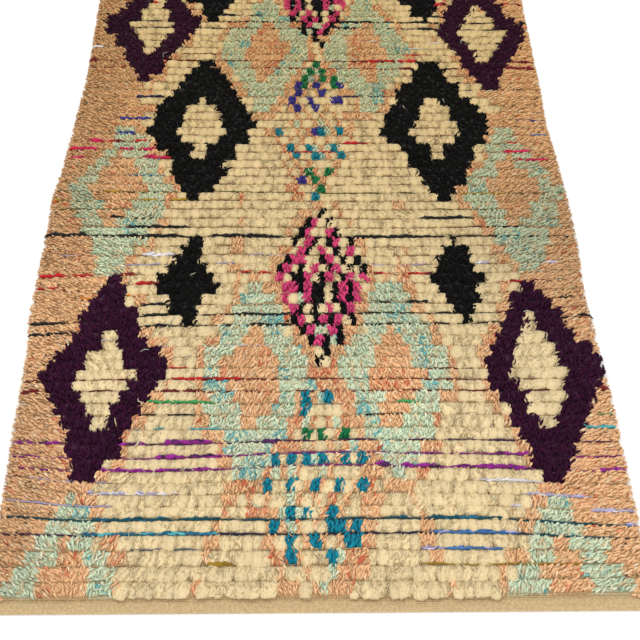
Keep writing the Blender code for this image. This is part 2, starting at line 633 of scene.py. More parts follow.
def dotted(x: float, first_row: int, steps: tuple[float, ...], share: float,
           dots: tuple[tuple[int, Yarn, tuple[int, ...]], ...]) -> Dotted:
    """A dotted diamond, with a peach outline that takes up a share of the knots round it."""
    return Dotted(x, first_row, steps, outline=1, outline_share=share, dots=dots)


def all_motifs() -> list[Motif | Trail]:
    """The motifs in the order in which they are painted."""
    sides = [
        celadon_ring(-0.447, 0, LOW_STEPS, 0, LOW_CORE),
        replace(celadon_ring(-0.448, 26, core_row=5), core_shift=-0.010),
        celadon_ring(-0.440, 68, core_row=5),
        replace(aubergine_ring(-0.425, 8), tips=(-0.008, -0.014)),
        aubergine_ring(-0.432, 49),
        aubergine_ring(-0.436, 86),
        celadon_ring(0.453, 0, LOW_STEPS, 0, LOW_CORE),
        celadon_ring(0.480, 26, core_row=5),
        celadon_ring(0.475, 68, core_row=5),
        replace(
            aubergine_ring(0.474, 8), steps=AUBERGINE_STEPS[:-2] + (0.5,), core=AUBERGINE_CORE + (0,),
            core_shift=-0.006, tips=(-0.018, 0.0),
        ),
        aubergine_ring(0.470, 48),
        aubergine_ring(0.474, 86),
    ]
    middle = [
        peach_ring(-0.125),
        peach_ring(0.158),
        dotted(0.001, 0, TEAL_STEPS, 0.9, TEAL_DOTS),
        checked(0.025, 17),
        dotted(-0.002, 34, DOTTED_STEPS, 0.6, MIXED_DOTS),
        checked(0.018, 54, mirrored=True),
        dotted(0.006, 71, TEAL_STEPS, 0.8, TEAL_DOTS),
        checked(0.018, 90),
    ]
    inner = [
        celadon_ring(-0.122, 8),
        celadon_ring(0.170, 8),
        celadon_ring(-0.120, 45),
        celadon_ring(0.150, 45),
        celadon_ring(-0.124, 82),
        celadon_ring(0.156, 82),
        Motif(-0.272, 21, SMALL_STEPS, Yarn.BLACK),
        Motif(0.322, 21, NARROW_STEPS, Yarn.BLACK),
        Motif(-0.270, 58, SMALL_STEPS, Yarn.BLACK),
        Motif(0.318, 58, NARROW_STEPS, Yarn.BLACK),
        black_ring(-0.272, 34),
        black_ring(0.313, 34),
        black_ring(-0.270, 72),
        black_ring(0.316, 72),
    ]
    trails = [
        Trail((-0.171, 0.70), (-0.165, 1.00)),
        Trail((0.205, 0.70), (0.200, 0.98)),
        Trail((-0.350, 0.90), (-0.300, 1.02)),
        Trail((0.400, 0.90), (0.360, 1.02)),
        Trail((-0.171, 1.72), (-0.165, 2.00)),
        Trail((0.205, 1.72), (0.200, 2.00)),
    ]
    return middle[:2] + sides + middle[2:] + inner + trails


def knotting_chart(loom: Loom) -> Chart:
    """The whole chart, with its peach side margins and every motif.

    Args:
        loom: The sizes of the rug.

    Returns:
        The painted chart.
    """
    chart = Chart(loom, seed=11)
    jag = chart.jagged(1.0)
    left = chart.x - jag[:, :1] < LEFT_MARGIN
    right = chart.x + jag[:, 1:] > RIGHT_MARGIN
    chart.paint(left | right, Yarn.PEACH)
    for motif in all_motifs():
        motif.draw(chart)
    return chart


@dataclass(frozen=True)
class Wool:
    """The finish of hand-spun wool: colour from the yarn, a twist, fine fibres and a soft sheen."""

    name: str
    roughness: float = 0.95
    sheen: float = 0.25
    sheen_roughness: float = 0.6
    twist: float = 5.0
    twist_turn: float = 38.0
    twist_depth: float = 0.0006
    twist_wander: float = 1.5
    fibre_scale: float = 900.0
    mottle: float = 0.14
    fuzz_depth: float = 0.0008

    def material(self) -> bpy.types.Material:
        """Builds the material.

        Returns:
            A node material that reads the yarn colour and the strand map of a mesh.
        """
        material = bpy.data.materials.new(self.name)
        material.use_nodes = True
        nodes, links = material.node_tree.nodes, material.node_tree.links
        shader = nodes["Principled BSDF"]
        shader.inputs["Roughness"].default_value = self.roughness
        shader.inputs["Sheen Weight"].default_value = self.sheen
        shader.inputs["Sheen Roughness"].default_value = self.sheen_roughness
        shader.inputs["Specular IOR Level"].default_value = 0.15

        colour = nodes.new("ShaderNodeAttribute")
        colour.attribute_name = COLOUR
        place = nodes.new("ShaderNodeTexCoord")
        fibres = nodes.new("ShaderNodeTexNoise")
        fibres.inputs["Scale"].default_value = self.fibre_scale
        fibres.inputs["Detail"].default_value = 2.0
        links.new(place.outputs["Object"], fibres.inputs["Vector"])
        light = nodes.new("ShaderNodeMapRange")
        light.inputs["From Min"].default_value = 0.3
        light.inputs["From Max"].default_value = 0.7
        light.inputs["To Min"].default_value = 1.0 - self.mottle
        light.inputs["To Max"].default_value = 1.0 + self.mottle
        links.new(fibres.outputs["Fac"], light.inputs["Value"])
        mottled = nodes.new("ShaderNodeVectorMath")
        mottled.operation = "SCALE"
        links.new(colour.outputs["Color"], mottled.inputs[0])
        links.new(light.outputs["Result"], mottled.inputs["Scale"])
        links.new(mottled.outputs["Vector"], shader.inputs["Base Color"])

        strand = nodes.new("ShaderNodeUVMap")
        strand.uv_map = STRAND_MAP
        turned = nodes.new("ShaderNodeMapping")
        turned.inputs["Rotation"].default_value = (0.0, 0.0, math.radians(self.twist_turn))
        twist = nodes.new("ShaderNodeTexWave")
        twist.inputs["Scale"].default_value = self.twist
        twist.inputs["Distortion"].default_value = self.twist_wander
        links.new(strand.outputs["UV"], turned.inputs["Vector"])
        links.new(turned.outputs["Vector"], twist.inputs["Vector"])
        bump = nodes.new("ShaderNodeBump")
        bump.inputs["Strength"].default_value = 0.6
        bump.inputs["Distance"].default_value = self.twist_depth
        fuzz = nodes.new("ShaderNodeBump")
        fuzz.inputs["Strength"].default_value = 0.5
        fuzz.inputs["Distance"].default_value = self.fuzz_depth
        links.new(twist.outputs["Fac"], bump.inputs["Height"])
        links.new(fibres.outputs["Fac"], fuzz.inputs["Height"])
        links.new(bump.outputs["Normal"], fuzz.inputs["Normal"])
        links.new(fuzz.outputs["Normal"], shader.inputs["Normal"])
        return material


@dataclass(frozen=True)
class Body:
    """The soft body of one knot, a flattened bell from its root to its ends.

    Each ring has its place between the weft line behind (0) and the one before (1), its height and
    its width as a share of half_width. Lengths are in metres.
    """

    half_width: float = 0.0122
    flatness: float = 0.28
    places: tuple[float, ...] = (0.05, 0.28, 0.68, 0.96, 1.08)
    heights: tuple[float, ...] = (0.0082, 0.0128, 0.0136, 0.0116, 0.0080)
    widths: tuple[float, ...] = (0.90, 1.00, 1.05, 0.90, 0.62)
    untidy: float = 0.0013
    lean: float = 0.30
    stray: float = 0.16
    size_spread: float = 0.10
    height_spread: float = 0.0007


@dataclass(frozen=True)
class Ends:
    """How the loose ends of one knot lie, as short curved grains. Lengths in metres, angles in degrees."""

    strands: int = 7
    radius: float = 0.0025
    half_length: float = 0.0082
    height: float = 0.0148
    dip: float = 0.0010
    lift: float = 0.0014
    lean: float = 1.0
    turn: float = 22.0
    curl: float = 0.0014
    span: tuple[float, float] = (0.06, 0.90)
    overhang: float = 0.0006
    spread: float = 1.0


class StrandShape:
    """One strand as a short prism, which is copied for every strand of the pile."""

    def __init__(self, sides: int, rings: int) -> None:
        """Makes the prism with bmesh and keeps its corners, faces and the two maps' places.

        Args:
            sides: How many sides the prism has.
            rings: How many rings of corners it has from end to end.
        """
        mesh = bmesh.new()
        bmesh.ops.create_cone(
            mesh, cap_ends=True, segments=sides, radius1=1.0, radius2=1.0, depth=1.0
        )
        for cut in range(1, rings - 1):
            bmesh.ops.bisect_plane(
                mesh,
                geom=mesh.verts[:] + mesh.edges[:] + mesh.faces[:],
                plane_co=(0, 0, cut / (rings - 1) - 0.5),
                plane_no=(0, 0, 1),
            )
        bmesh.ops.triangulate(mesh, faces=mesh.faces)
        mesh.verts.ensure_lookup_table()
        places = np.array([vertex.co[:] for vertex in mesh.verts])
        self.ring = np.round((places[:, 2] + 0.5) * (rings - 1)).astype(int)
        self.turn = np.arctan2(places[:, 1], places[:, 0])
        self.faces = np.array([[vertex.index for vertex in face.verts] for face in mesh.faces])
        self.along, self.cell = self.flat_places(mesh)
        mesh.free()

    def flat_places(self, mesh: bmesh.types.BMesh) -> tuple[np.ndarray, np.ndarray]:
        """Lays the faces out flat, each corner by how far it is round and along the strand.

        Args:
            mesh: The triangulated prism.

        Returns:
            The places on the strand map and in a cell of the bake map, by corner.
        """
        strand, cell = [], []
        for face in mesh.faces:
            flat = abs(face.normal.z) > 0.5
            middle = math.atan2(face.calc_center_median().y, face.calc_center_median().x)
            for loop in face.loops:
                place = loop.vert.co
                turn = math.atan2(place.y, place.x)
                if flat:
                    strand.append((0.5 + 0.1 * place.x, 0.5 + 0.1 * place.y))
                    level = 0.94 if place.z > 0 else 0.06
                    cell.append((0.5 + 0.3 * place.x, level + 0.04 * place.y))
                    continue
                off = (turn - middle + math.pi) % math.tau - math.pi
                around = (middle % math.tau + off) / math.tau
                strand.append((around, place.z + 0.5))
                cell.append((0.08 + 0.84 * around / 1.2, 0.15 + 0.7 * (place.z + 0.5)))
        return np.array(strand), np.array(cell)


def add_mesh(name: str, places: np.ndarray, faces: np.ndarray) -> bpy.types.Object:
    """Makes an object of many copies whose corners and faces are arrays.

    Args:
        name: The piece's name.
        places: The corners, one row each.
        faces: The triangles, one row each.

    Returns:
        The new object, linked to the scene.
    """
    mesh = bpy.data.meshes.new(name)
    mesh.from_pydata(places, [], faces)
    mesh.shade_smooth()
    piece = bpy.data.objects.new(name, mesh)
    bpy.context.scene.collection.objects.link(piece)
    return piece


def add_colours(mesh: bpy.types.Mesh, colours: np.ndarray) -> None:
    """Stores a linear colour for each vertex."""
    layer = mesh.color_attributes.new(COLOUR, "FLOAT_COLOR", "POINT")
    opaque = np.ones((len(colours), 4), np.float32)
    opaque[:, :3] = colours
    layer.data.foreach_set("color", opaque.ravel())


def add_map(mesh: bpy.types.Mesh, name: str, places: np.ndarray) -> None:
    """Stores a UV map, one place for each corner of a face."""
    layer = mesh.uv_layers.new(name=name, do_init=False)
    layer.uv.foreach_set("vector", places.astype(np.float32).ravel())


def copy_strands(name: str, shape: StrandShape, paths: np.ndarray, radii: np.ndarray,
                 colours: np.ndarray, rng: np.random.Generator, flatness: float = 1.0,
                 across: tuple[float, float, float] = (1.0, 0.0, 0.0)) -> bpy.types.Object:
    """Copies the strand along many paths.

    Args:
        name: The piece's name.
        shape: The strand to copy.
        paths: The middle of each ring, by strand and ring.
        radii: The radius at each ring, by strand and ring.
        colours: The linear colour at each ring, by strand and ring.
        rng: The source of the turn of each strand about itself, and of its place on the twist.
        flatness: The height of a strand as a share of its width. A flat strand isn't turned.
        across: A direction that no strand runs along.

    Returns:
        The joined strands as one object.
    """
    count = len(paths)
    tangent = np.gradient(paths, axis=1)
    tangent /= np.linalg.norm(tangent, axis=2, keepdims=True)
    side = np.array(across) - tangent * (tangent @ np.array(across))[..., None]
    side /= np.linalg.norm(side, axis=2, keepdims=True)
    up = np.cross(tangent, side) * flatness
    rolls = rng.uniform(0, math.tau, count) if flatness == 1.0 else np.zeros(count)
    turn = shape.turn[None, :] + rolls[:, None]
    ring = shape.ring
    round_it = np.cos(turn)[..., None] * side[:, ring] + np.sin(turn)[..., None] * up[:, ring]
    places = paths[:, ring] + round_it * radii[:, ring, None]
    places[..., 2] = np.maximum(places[..., 2], FLOOR_GAP)
    corners = len(ring)
    faces = shape.faces[None] + (np.arange(count) * corners)[:, None, None]
    piece = add_mesh(name, places.reshape(-1, 3), faces.reshape(-1, 3))
    add_colours(piece.data, colours[:, ring].reshape(-1, 3))
    shift = rng.uniform(0, 20, (count, 1, 2))
    add_map(piece.data, STRAND_MAP, (shape.along[None] + shift).reshape(-1, 2))
    cells = math.ceil(math.sqrt(count))
    index = np.arange(count)
    corner = np.stack([index % cells, index // cells], 1)[:, None]
    add_map(piece.data, BAKE_MAP, ((corner + shape.cell[None]) / cells).reshape(-1, 2))
    return piece


@dataclass
class Pile:
    """The knotted pile, as one piece for each wool or part of one."""

    loom: Loom
    chart: Chart
    lump: float = 0.0012
    lump_length: float = 0.07
    closed_gap: float = -0.0012
    open_gap: float = 0.0046
    rim_lean: float = 0.002
    rim_knots: int = 2
    inward_lean: float = 2.0
    body: Body = field(default_factory=Body)
    rim_body: Body = field(
        default_factory=lambda: Body(
            0.0070, 0.40, heights=(0.0062, 0.0090, 0.0098, 0.0088, 0.0062), size_spread=0.06
        )
    )
    ends: dict[str, Ends] = field(
        default_factory=lambda: {
            "cream": Ends(5, 0.0019, 0.0062, 0.0164, 0.0014, 0.0008, 0.5, 26.0, 0.0014, (0.22, 0.98), 0.0014),
            "peach": Ends(),
            "celadon": Ends(turn=30.0, lean=0.8),
            "dark": Ends(6, 0.0030, 0.0084, 0.0150, lean=0.3, turn=32.0, overhang=0.0022, spread=1.1),
            "bright": Ends(8, 0.0032, 0.0080, 0.0158, lean=0.4, turn=18.0, overhang=0.0018, spread=1.2),
        }
    )

    def cells(self, mask: np.ndarray) -> dict[str, np.ndarray]:
        """Where the knots of a mask sit and what lies round them.

        Args:
            mask: Which knots of the chart to take.

        Returns:
            By name and knot: x, row, distance, y of the weft line behind and before, how open the
            line before is, the lump of the pile and its lean as a slope.
        """
        rows, knots = np.nonzero(mask)
        x, distance = self.chart.x[rows, knots], self.chart.distance[rows, knots]
        behind = np.array([self.loom.line_place(a, row + 1) for a, row in zip(x, rows)])
        before = np.array([self.loom.line_place(a, row) for a, row in zip(x, rows)])
        gap = np.array([weft_at(row).gap_at(a) for a, row in zip(x, rows)])
        parting = np.array([uneven(a / 0.028, row * 3.3, Layer.PARTING) for a, row in zip(x, rows)])
        yarns = self.chart.yarns[rows, knots]
        gap = np.where(yarns == Yarn.CREAM.value, gap, gap - 0.2)
        gap = gap + 0.55 * parting * np.clip(gap + 0.3, 0.2, 1)
        gap = np.where((yarns == Yarn.BLACK.value) | (yarns == Yarn.AUBERGINE.value), -0.3, gap)
        lumps = np.array([uneven(a / self.lump_length, 0.9 * row, Layer.LUMPS) for a, row in zip(x, rows)])
        drift = np.array([uneven(a / 0.24, b / 0.30, Layer.DRIFT) for a, b in zip(x, distance)])
        inwards = -self.inward_lean * np.sign(x) * np.clip((np.abs(x) - 0.38) / 0.14, 0, 1)
        return {
            "x": x,
            "row": rows,
            "distance": distance,
            "behind": behind,
            "before": before,
            "gap": np.clip(gap, -0.3, 1.3),
            "lump": self.lump * lumps,
            "lean": 0.6 * drift + inwards,
            "yarns": yarns,
        }

    def lower_rim(self, paths: np.ndarray, distance: np.ndarray) -> np.ndarray:
        """Lets the pile slope down and hang outwards at both sides of the rug.

        Args:
            paths: The middle of each ring, by strand and ring.
            distance: The distance of each strand's knot from the near end.

        Returns:
            The changed paths.
        """
        x = paths[..., 0]
        fall = self.loom.rim_fall(x, distance[:, None])
        left, right = self.loom.edges(distance[:, None])
        made = paths.copy()
        made[..., 0] = np.clip(x + np.sign(x) * self.rim_lean * fall, left + 0.0015, right - 0.0015)
        made[..., 2] = paths[..., 2] * (1 - self.loom.rim_drop * fall**2)
        return made

    def wool_colours(self, cells: dict[str, np.ndarray], strands: int,
                     rng: np.random.Generator) -> np.ndarray:
        """The colour of each strand of some knots, more tan towards the far end, with the loom's painted
        light and shade.
        """
        colours = np.zeros((len(cells["x"]), strands, 3))
        for yarn in Yarn:
            of_yarn = cells["yarns"] == yarn.value
            if of_yarn.any():
                colours[of_yarn] = DYES[yarn].strand_colours(
                    cells["x"][of_yarn], cells["row"][of_yarn], strands, rng, strands > 1
                )
        # The loom's tan, its painted shade at the left margin, and its painted light and shade in patches.
        return colours * self.loom.tan_and_painted_shade(cells["x"], cells["distance"])[:, None]

    def bodies(self, name: str, mask: np.ndarray, body: Body, seed: int) -> bpy.types.Object:
        """Makes the soft bodies of the knots of a mask as one piece.

        Args:
            name: The piece's name.
            mask: Which knots of the chart belong to it.
            body: The shape of one body.
            seed: The seed of the unevenness.

        Returns:
            The piece, without its material.
        """
        rng = np.random.default_rng(seed)
        cells = self.cells(mask)
        count = len(cells["x"])
        rings = len(body.places)
        share = np.array(body.places)[None]
        behind = cells["behind"][:, None]
        tip = cells["before"] + self.closed_gap + (self.open_gap - self.closed_gap) * cells["gap"]
        tip = tip[:, None] + rng.normal(0, body.untidy, (count, 1))
        along = behind - share * (behind - tip)
        drift = cells["lean"][:, None] * body.lean + rng.normal(0, body.stray, (count, 1))
        across = cells["x"][:, None] + drift * (behind - along) + rng.normal(0, 0.0004, (count, rings))
        z = np.array(body.heights)[None] + cells["lump"][:, None] * share
        z = z + rng.normal(0, body.height_spread, (count, 1)) + rng.normal(0, 0.0002, (count, rings))
        z[:, -1] += 0.0022 * (1 - cells["gap"])
        paths = self.lower_rim(np.stack([across, along, z], 2), cells["distance"])
        radii = np.array(body.widths)[None] * body.half_width
        radii = radii * rng.normal(1, body.size_spread, (count, 1)).clip(0.7, 1.3)
        # Painted shade: the rings near the root are darker, where the body dips down between the rows.
        colours = self.wool_colours(cells, 1, rng) * np.array([0.80, 0.94, 1.0, 1.02, 0.98])[:, None]
        piece = copy_strands(
            name, StrandShape(6, rings), paths, radii, np.clip(colours, 0, 1), rng, body.flatness
        )
        return piece

    def grains(self, name: str, mask: np.ndarray, ends: Ends, seed: int) -> bpy.types.Object:
        """Makes the loose ends of the knots of a mask as one piece.

        Args:
            name: The piece's name.
            mask: Which knots of the chart belong to it.
            ends: How they lie.
            seed: The seed of the unevenness.

        Returns:
            The piece, without its material.
        """
        rng = np.random.default_rng(seed)
        cells = self.cells(mask)
        shape = (len(cells["x"]), ends.strands)
        order = rng.permuted(np.tile(np.arange(ends.strands), (shape[0], 1)), axis=1)
        place = (order + rng.uniform(0.1, 0.9, shape)) / ends.strands * 2 - 1
        order = rng.permuted(order, axis=1)
        low, high = ends.span
        share = low + (high - low) * (order + rng.random(shape)) / ends.strands
        behind, before = cells["behind"][:, None], cells["before"][:, None]
        pitch, gap = behind - before, cells["gap"][:, None]
        x = cells["x"][:, None] + place * ends.spread * self.loom.knot_width / 2
        y = behind - share * pitch
        angle = np.arctan(cells["lean"][:, None] * ends.lean)
        combed = 1 - 0.35 * np.clip((np.abs(cells["x"][:, None]) - 0.40) / 0.1, 0, 1)
        angle = angle + np.radians(rng.normal(0, ends.turn, shape)) * combed
        half = ends.half_length * rng.normal(1, 0.16, shape)
        step_x, step_y = half * np.sin(angle), half * np.cos(angle)
        tip_limit = before + self.closed_gap + (self.open_gap - self.closed_gap) * gap - ends.overhang
        tip_y = np.maximum(y - step_y, tip_limit + rng.normal(0, 0.0007, shape))
        start_y = np.minimum(y + step_y, behind + 0.0012 * (1 - gap) + ends.overhang)
        curl = ends.curl * rng.normal(0, 1, shape)
        lump = cells["lump"][:, None]

        def crown(at: np.ndarray) -> np.ndarray:
            """The height of the row's rounded top at some y."""
            off = np.abs(2 * (behind - at) / pitch - 0.92)
            fall = (ends.height - 0.0095) * np.clip(off, 0, 1.2) ** 2.6
            return ends.height + lump - fall * (0.25 + 0.75 * np.clip(gap, 0, 1))

        middle_z = crown(y) + rng.uniform(0, ends.lift, shape)
        paths = np.stack(
            [
                np.stack([x - step_x, start_y, crown(start_y) - ends.dip], 2),
                np.stack([x + curl, y, middle_z], 2),
                np.stack([x + step_x, tip_y, crown(tip_y) - ends.dip + rng.normal(0, 0.0008, shape)], 2),
            ],
            2,
        ).reshape(-1, 3, 3)
        paths = self.lower_rim(paths, np.repeat(cells["distance"], ends.strands))
        girth = ends.radius * rng.normal(1, 0.12, (len(paths), 1))
        radii = girth * np.array([0.70, 1.10, 0.55])
        colours = self.wool_colours(cells, ends.strands, rng).reshape(-1, 1, 3)
        # Painted shade at the root end of each grain, and a touch of painted light at its tip.
        colours = colours * np.array([0.94, 1.0, 1.02])[:, None]
        piece = copy_strands(name, StrandShape(3, 3), paths, radii, np.clip(colours, 0, 1), rng)
        return piece

    def build(self) -> list[bpy.types.Object]:
        """Makes every piece of the pile."""
        yarns, row = self.chart.yarns, self.chart.row
        cream = yarns == Yarn.CREAM.value
        made = []
        for part in range(2):
            name = f"cream_pile_{part + 1}"
            mask = cream & (row % 2 == part)
            made.append(self.bodies(name, mask, self.body, 20 + part))
        made.append(self.grains("cream_ends", cream, self.ends["cream"], 25))
        knot = self.chart.knot
        rim = (np.minimum(knot, self.loom.knots - 1 - knot) < self.rim_knots) & ~cream
        made.append(self.bodies("rim_pile", rim, self.rim_body, 27))
        for part in range(2):
            mask = (yarns == Yarn.PEACH.value) & (row % 2 == part)
            name = f"peach_pile_{part + 1}"
            made.append(self.grains(name, mask, self.ends["peach"], 30 + part))
        for yarn, kind, seed in (
            (Yarn.CELADON, "celadon", 40),
            (Yarn.BLACK, "dark", 41),
            (Yarn.AUBERGINE, "dark", 42),
        ):
            word = yarn.name.lower()
            mask = yarns == yarn.value
            made.append(self.grains(f"{word}_pile", mask, self.ends[kind], seed))
        bright = yarns >= Yarn.TEAL.value
        made.append(self.grains("bright_pile", bright, self.ends["bright"], 43))
        return made

    def dress(self, pieces: list[bpy.types.Object]) -> None:
        """Gives every piece its wool: grooves along the soft bodies, a twist on the loose ends."""
        body = Wool(
            "cream_body", sheen=0.1, twist=3.4, twist_turn=8.0, twist_depth=0.0010, twist_wander=5.0,
            fibre_scale=330.0, mottle=0.13, fuzz_depth=0.0022,
        )
        finishes = {"cream_body": body.material()}
        for piece in pieces:
            word = piece.name.split("_")[0]
            if piece.name.startswith("cream_pile") or word == "rim":
                word = "cream_body"
            if word not in finishes:
                sheen = 0.0 if word in ("black", "aubergine") else 0.05
                finishes[word] = Wool(word, sheen=sheen).material()
            piece.data.materials.append(finishes[word])


@dataclass
class GroundWeave:
    """The woven ground under the pile, with its selvedges, end bands and back."""

    loom: Loom
    chart: Chart
    columns: int = 80
    band_lines: int = 12
    thickness: float = 0.0035
    ridge: float = 0.0008
    inset: float = 0.008

    def lines(self) -> list[tuple[float, float]]:
        """The lines across the ground, near to far: distance from the near end and extra height."""
        made = []
        for step in range(self.band_lines):
            height = self.ridge if step % 2 else 0.0
            made.append((self.loom.end_band * step / self.band_lines, height))
        for line in range(self.loom.rows + 1):
            made.append((self.loom.end_band + line * self.loom.pitch, self.ridge))
        far = self.loom.length - self.loom.end_band
        for step in range(1, self.band_lines + 1):
            height = self.ridge if step % 2 == 0 else 0.0
            made.append((far + self.loom.end_band * step / self.band_lines, height))
        return made

    def build(self) -> bpy.types.Object:
        """Makes the ground as one closed sheet."""
        lines = self.lines()
        mesh = bmesh.new()
        rims = []
        for top in (True, False):
            grid = bmesh.ops.create_grid(
                mesh, x_segments=self.columns, y_segments=len(lines) - 1, size=1.0
            )["verts"]
            self.shape_side(grid, lines, top)
            faces = {face for vertex in grid for face in vertex.link_faces}
            if not top:
                bmesh.ops.reverse_faces(mesh, faces=list(faces))
            rims += [edge for vertex in grid for edge in vertex.link_edges if edge.is_boundary]
        bmesh.ops.bridge_loops(mesh, edges=list(set(rims)))
        bmesh.ops.recalc_face_normals(mesh, faces=mesh.faces)
        data = bpy.data.meshes.new("ground_weave")
        mesh.to_mesh(data)
        mesh.free()
        data.shade_smooth()
        data.set_sharp_from_angle(angle=math.radians(50))
        piece = bpy.data.objects.new("ground_weave", data)
        bpy.context.scene.collection.objects.link(piece)
        return piece

    def shape_side(self, grid: list[bmesh.types.BMVert], lines: list[tuple[float, float]],
                   top: bool) -> None:
        """Moves a flat grid to the top or the back of the ground."""
        for vertex in grid:
            column = (vertex.co.x + 1) / 2
            distance, extra = lines[round((vertex.co.y + 1) / 2 * (len(lines) - 1))]
            left, right = (float(edge) + side * self.inset for edge, side in
                           zip(self.loom.edges(np.array(distance)), (1, -1)))
            x = left + (right - left) * column
            row = (distance - self.loom.end_band) / self.loom.pitch
            y = distance - self.loom.length / 2
            if 0 <= row <= self.loom.rows:
                y = self.loom.line_place(x, row)
            vertex.co = (x, y, self.thickness + extra if top else 0.0)

    def dress(self, piece: bpy.types.Object) -> None:
        """Colours the top as bare weave and the back by its knots, and adds the woven finish."""
        mesh = piece.data
        band = linear("CDB184")
        ground = linear("8E7350")
        layer = mesh.color_attributes.new(COLOUR, "FLOAT_COLOR", "CORNER")
        shades = np.ones((len(mesh.loops), 4), np.float32)
        backs = {yarn.value: linear(DYES[yarn].shade) for yarn in Yarn}
        near = self.loom.end_band - self.loom.length / 2
        for face in mesh.polygons:
            row = int((face.center.y - near) // self.loom.pitch)
            colour = band
            if 0 <= row < self.loom.rows:
                colour = ground
                if face.normal.z < -0.5:
                    knot = self.chart.knot_at(row, face.center.x)
                    colour = backs[int(self.chart.yarns[row, knot])] * 0.9
            shades[face.loop_start : face.loop_start + face.loop_total, :3] = colour
        layer.data.foreach_set("color", shades.ravel())
        mesh.materials.append(Weave().material())


@dataclass
class KnotBed:
    """The short under-wool of the knots: a low rib for each row, which the long ends lie on."""

    loom: Loom
    chart: Chart
    columns: int = 78
    valley: float = 0.0072
    closed_rise: float = 0.0030
    front: float = 0.0121
    shoulder: float = 0.0130
    # Painted light: the under-wool is a little lighter than its own wool, to lift the shade in the gaps of
    # the pile.
    light: float = 1.03
    front_place: float = 0.30
    shoulder_place: float = 0.78
    rim_inset: float = 0.005

    def lines(self) -> list[tuple[float, float]]:
        """The lines across the bed, near to far: the row that each lies in and its height."""
        made = []
        for row in range(self.loom.rows):
            closed = self.closed_rise * (1 - weft_at(row).gap)
            made.append((float(row), self.valley + closed if row else self.front * 0.7))
            made.append((row + self.front_place, self.front))
            made.append((row + self.shoulder_place, self.shoulder))
        made.append((float(self.loom.rows), self.valley * 0.7))
        return made

    def build(self) -> bpy.types.Object:
        """Makes the ribs as one closed slab."""
        lines = self.lines()
        mesh = bmesh.new()
        bmesh.ops.create_grid(mesh, x_segments=self.columns, y_segments=len(lines) - 1, size=1.0)
        for vertex in mesh.verts:
            row, height = lines[round((vertex.co.y + 1) / 2 * (len(lines) - 1))]
            distance = np.array(self.loom.end_band + row * self.loom.pitch)
            left, right = (float(edge) for edge in self.loom.edges(distance))
            inset = self.rim_inset if row % 1 else self.rim_inset * 1.6
            left, right = left + inset, right - inset
            x = left + (right - left) * (vertex.co.x + 1) / 2
            fall = float(self.loom.rim_fall(np.array(x), distance))
            vertex.co = (x, self.loom.line_place(x, row), height * (1 - self.loom.rim_drop * fall**2))
        rim = [edge for edge in mesh.edges if edge.is_boundary]
        lower = bmesh.ops.extrude_edge_only(mesh, edges=rim)["geom"]
        for vertex in lower:
            if isinstance(vertex, bmesh.types.BMVert):
                vertex.co.z = 0.002
        bmesh.ops.contextual_create(
            mesh, geom=[item for item in lower if isinstance(item, bmesh.types.BMEdge)]
        )
        bmesh.ops.recalc_face_normals(mesh, faces=mesh.faces)
        data = bpy.data.meshes.new("knot_bed")
        mesh.to_mesh(data)
        mesh.free()
        data.shade_smooth()
        piece = bpy.data.objects.new("knot_bed", data)
        bpy.context.scene.collection.objects.link(piece)
        return piece

    def dress(self, piece: bpy.types.Object) -> None:
        """Colours the ribs by the chart, with the loom's tan and painted light and shade, and the painted
        light of the light factor.
        """
        mesh = piece.data
        layer = mesh.color_attributes.new(COLOUR, "FLOAT_COLOR", "CORNER")
        shades = np.ones((len(mesh.loops), 4), np.float32)
        wools = {yarn.value: linear(DYES[yarn].shade) for yarn in Yarn}
        for face in mesh.polygons:
            x, y, _ = face.center
            row = self.loom.row_at(x, y)
            knot = self.chart.knot_at(row, x)
            # The loom's tan and painted light and shade, then the painted light of the light factor.
            tan_and_painted_shade = self.loom.tan_and_painted_shade(np.array(x), np.array(y + self.loom.length / 2))
            colour = wools[int(self.chart.yarns[row, knot])] * tan_and_painted_shade * self.light
            shades[face.loop_start : face.loop_start + face.loop_total, :3] = colour
        layer.data.foreach_set("color", shades.ravel())
        mesh.materials.append(Weave("under_wool").material())


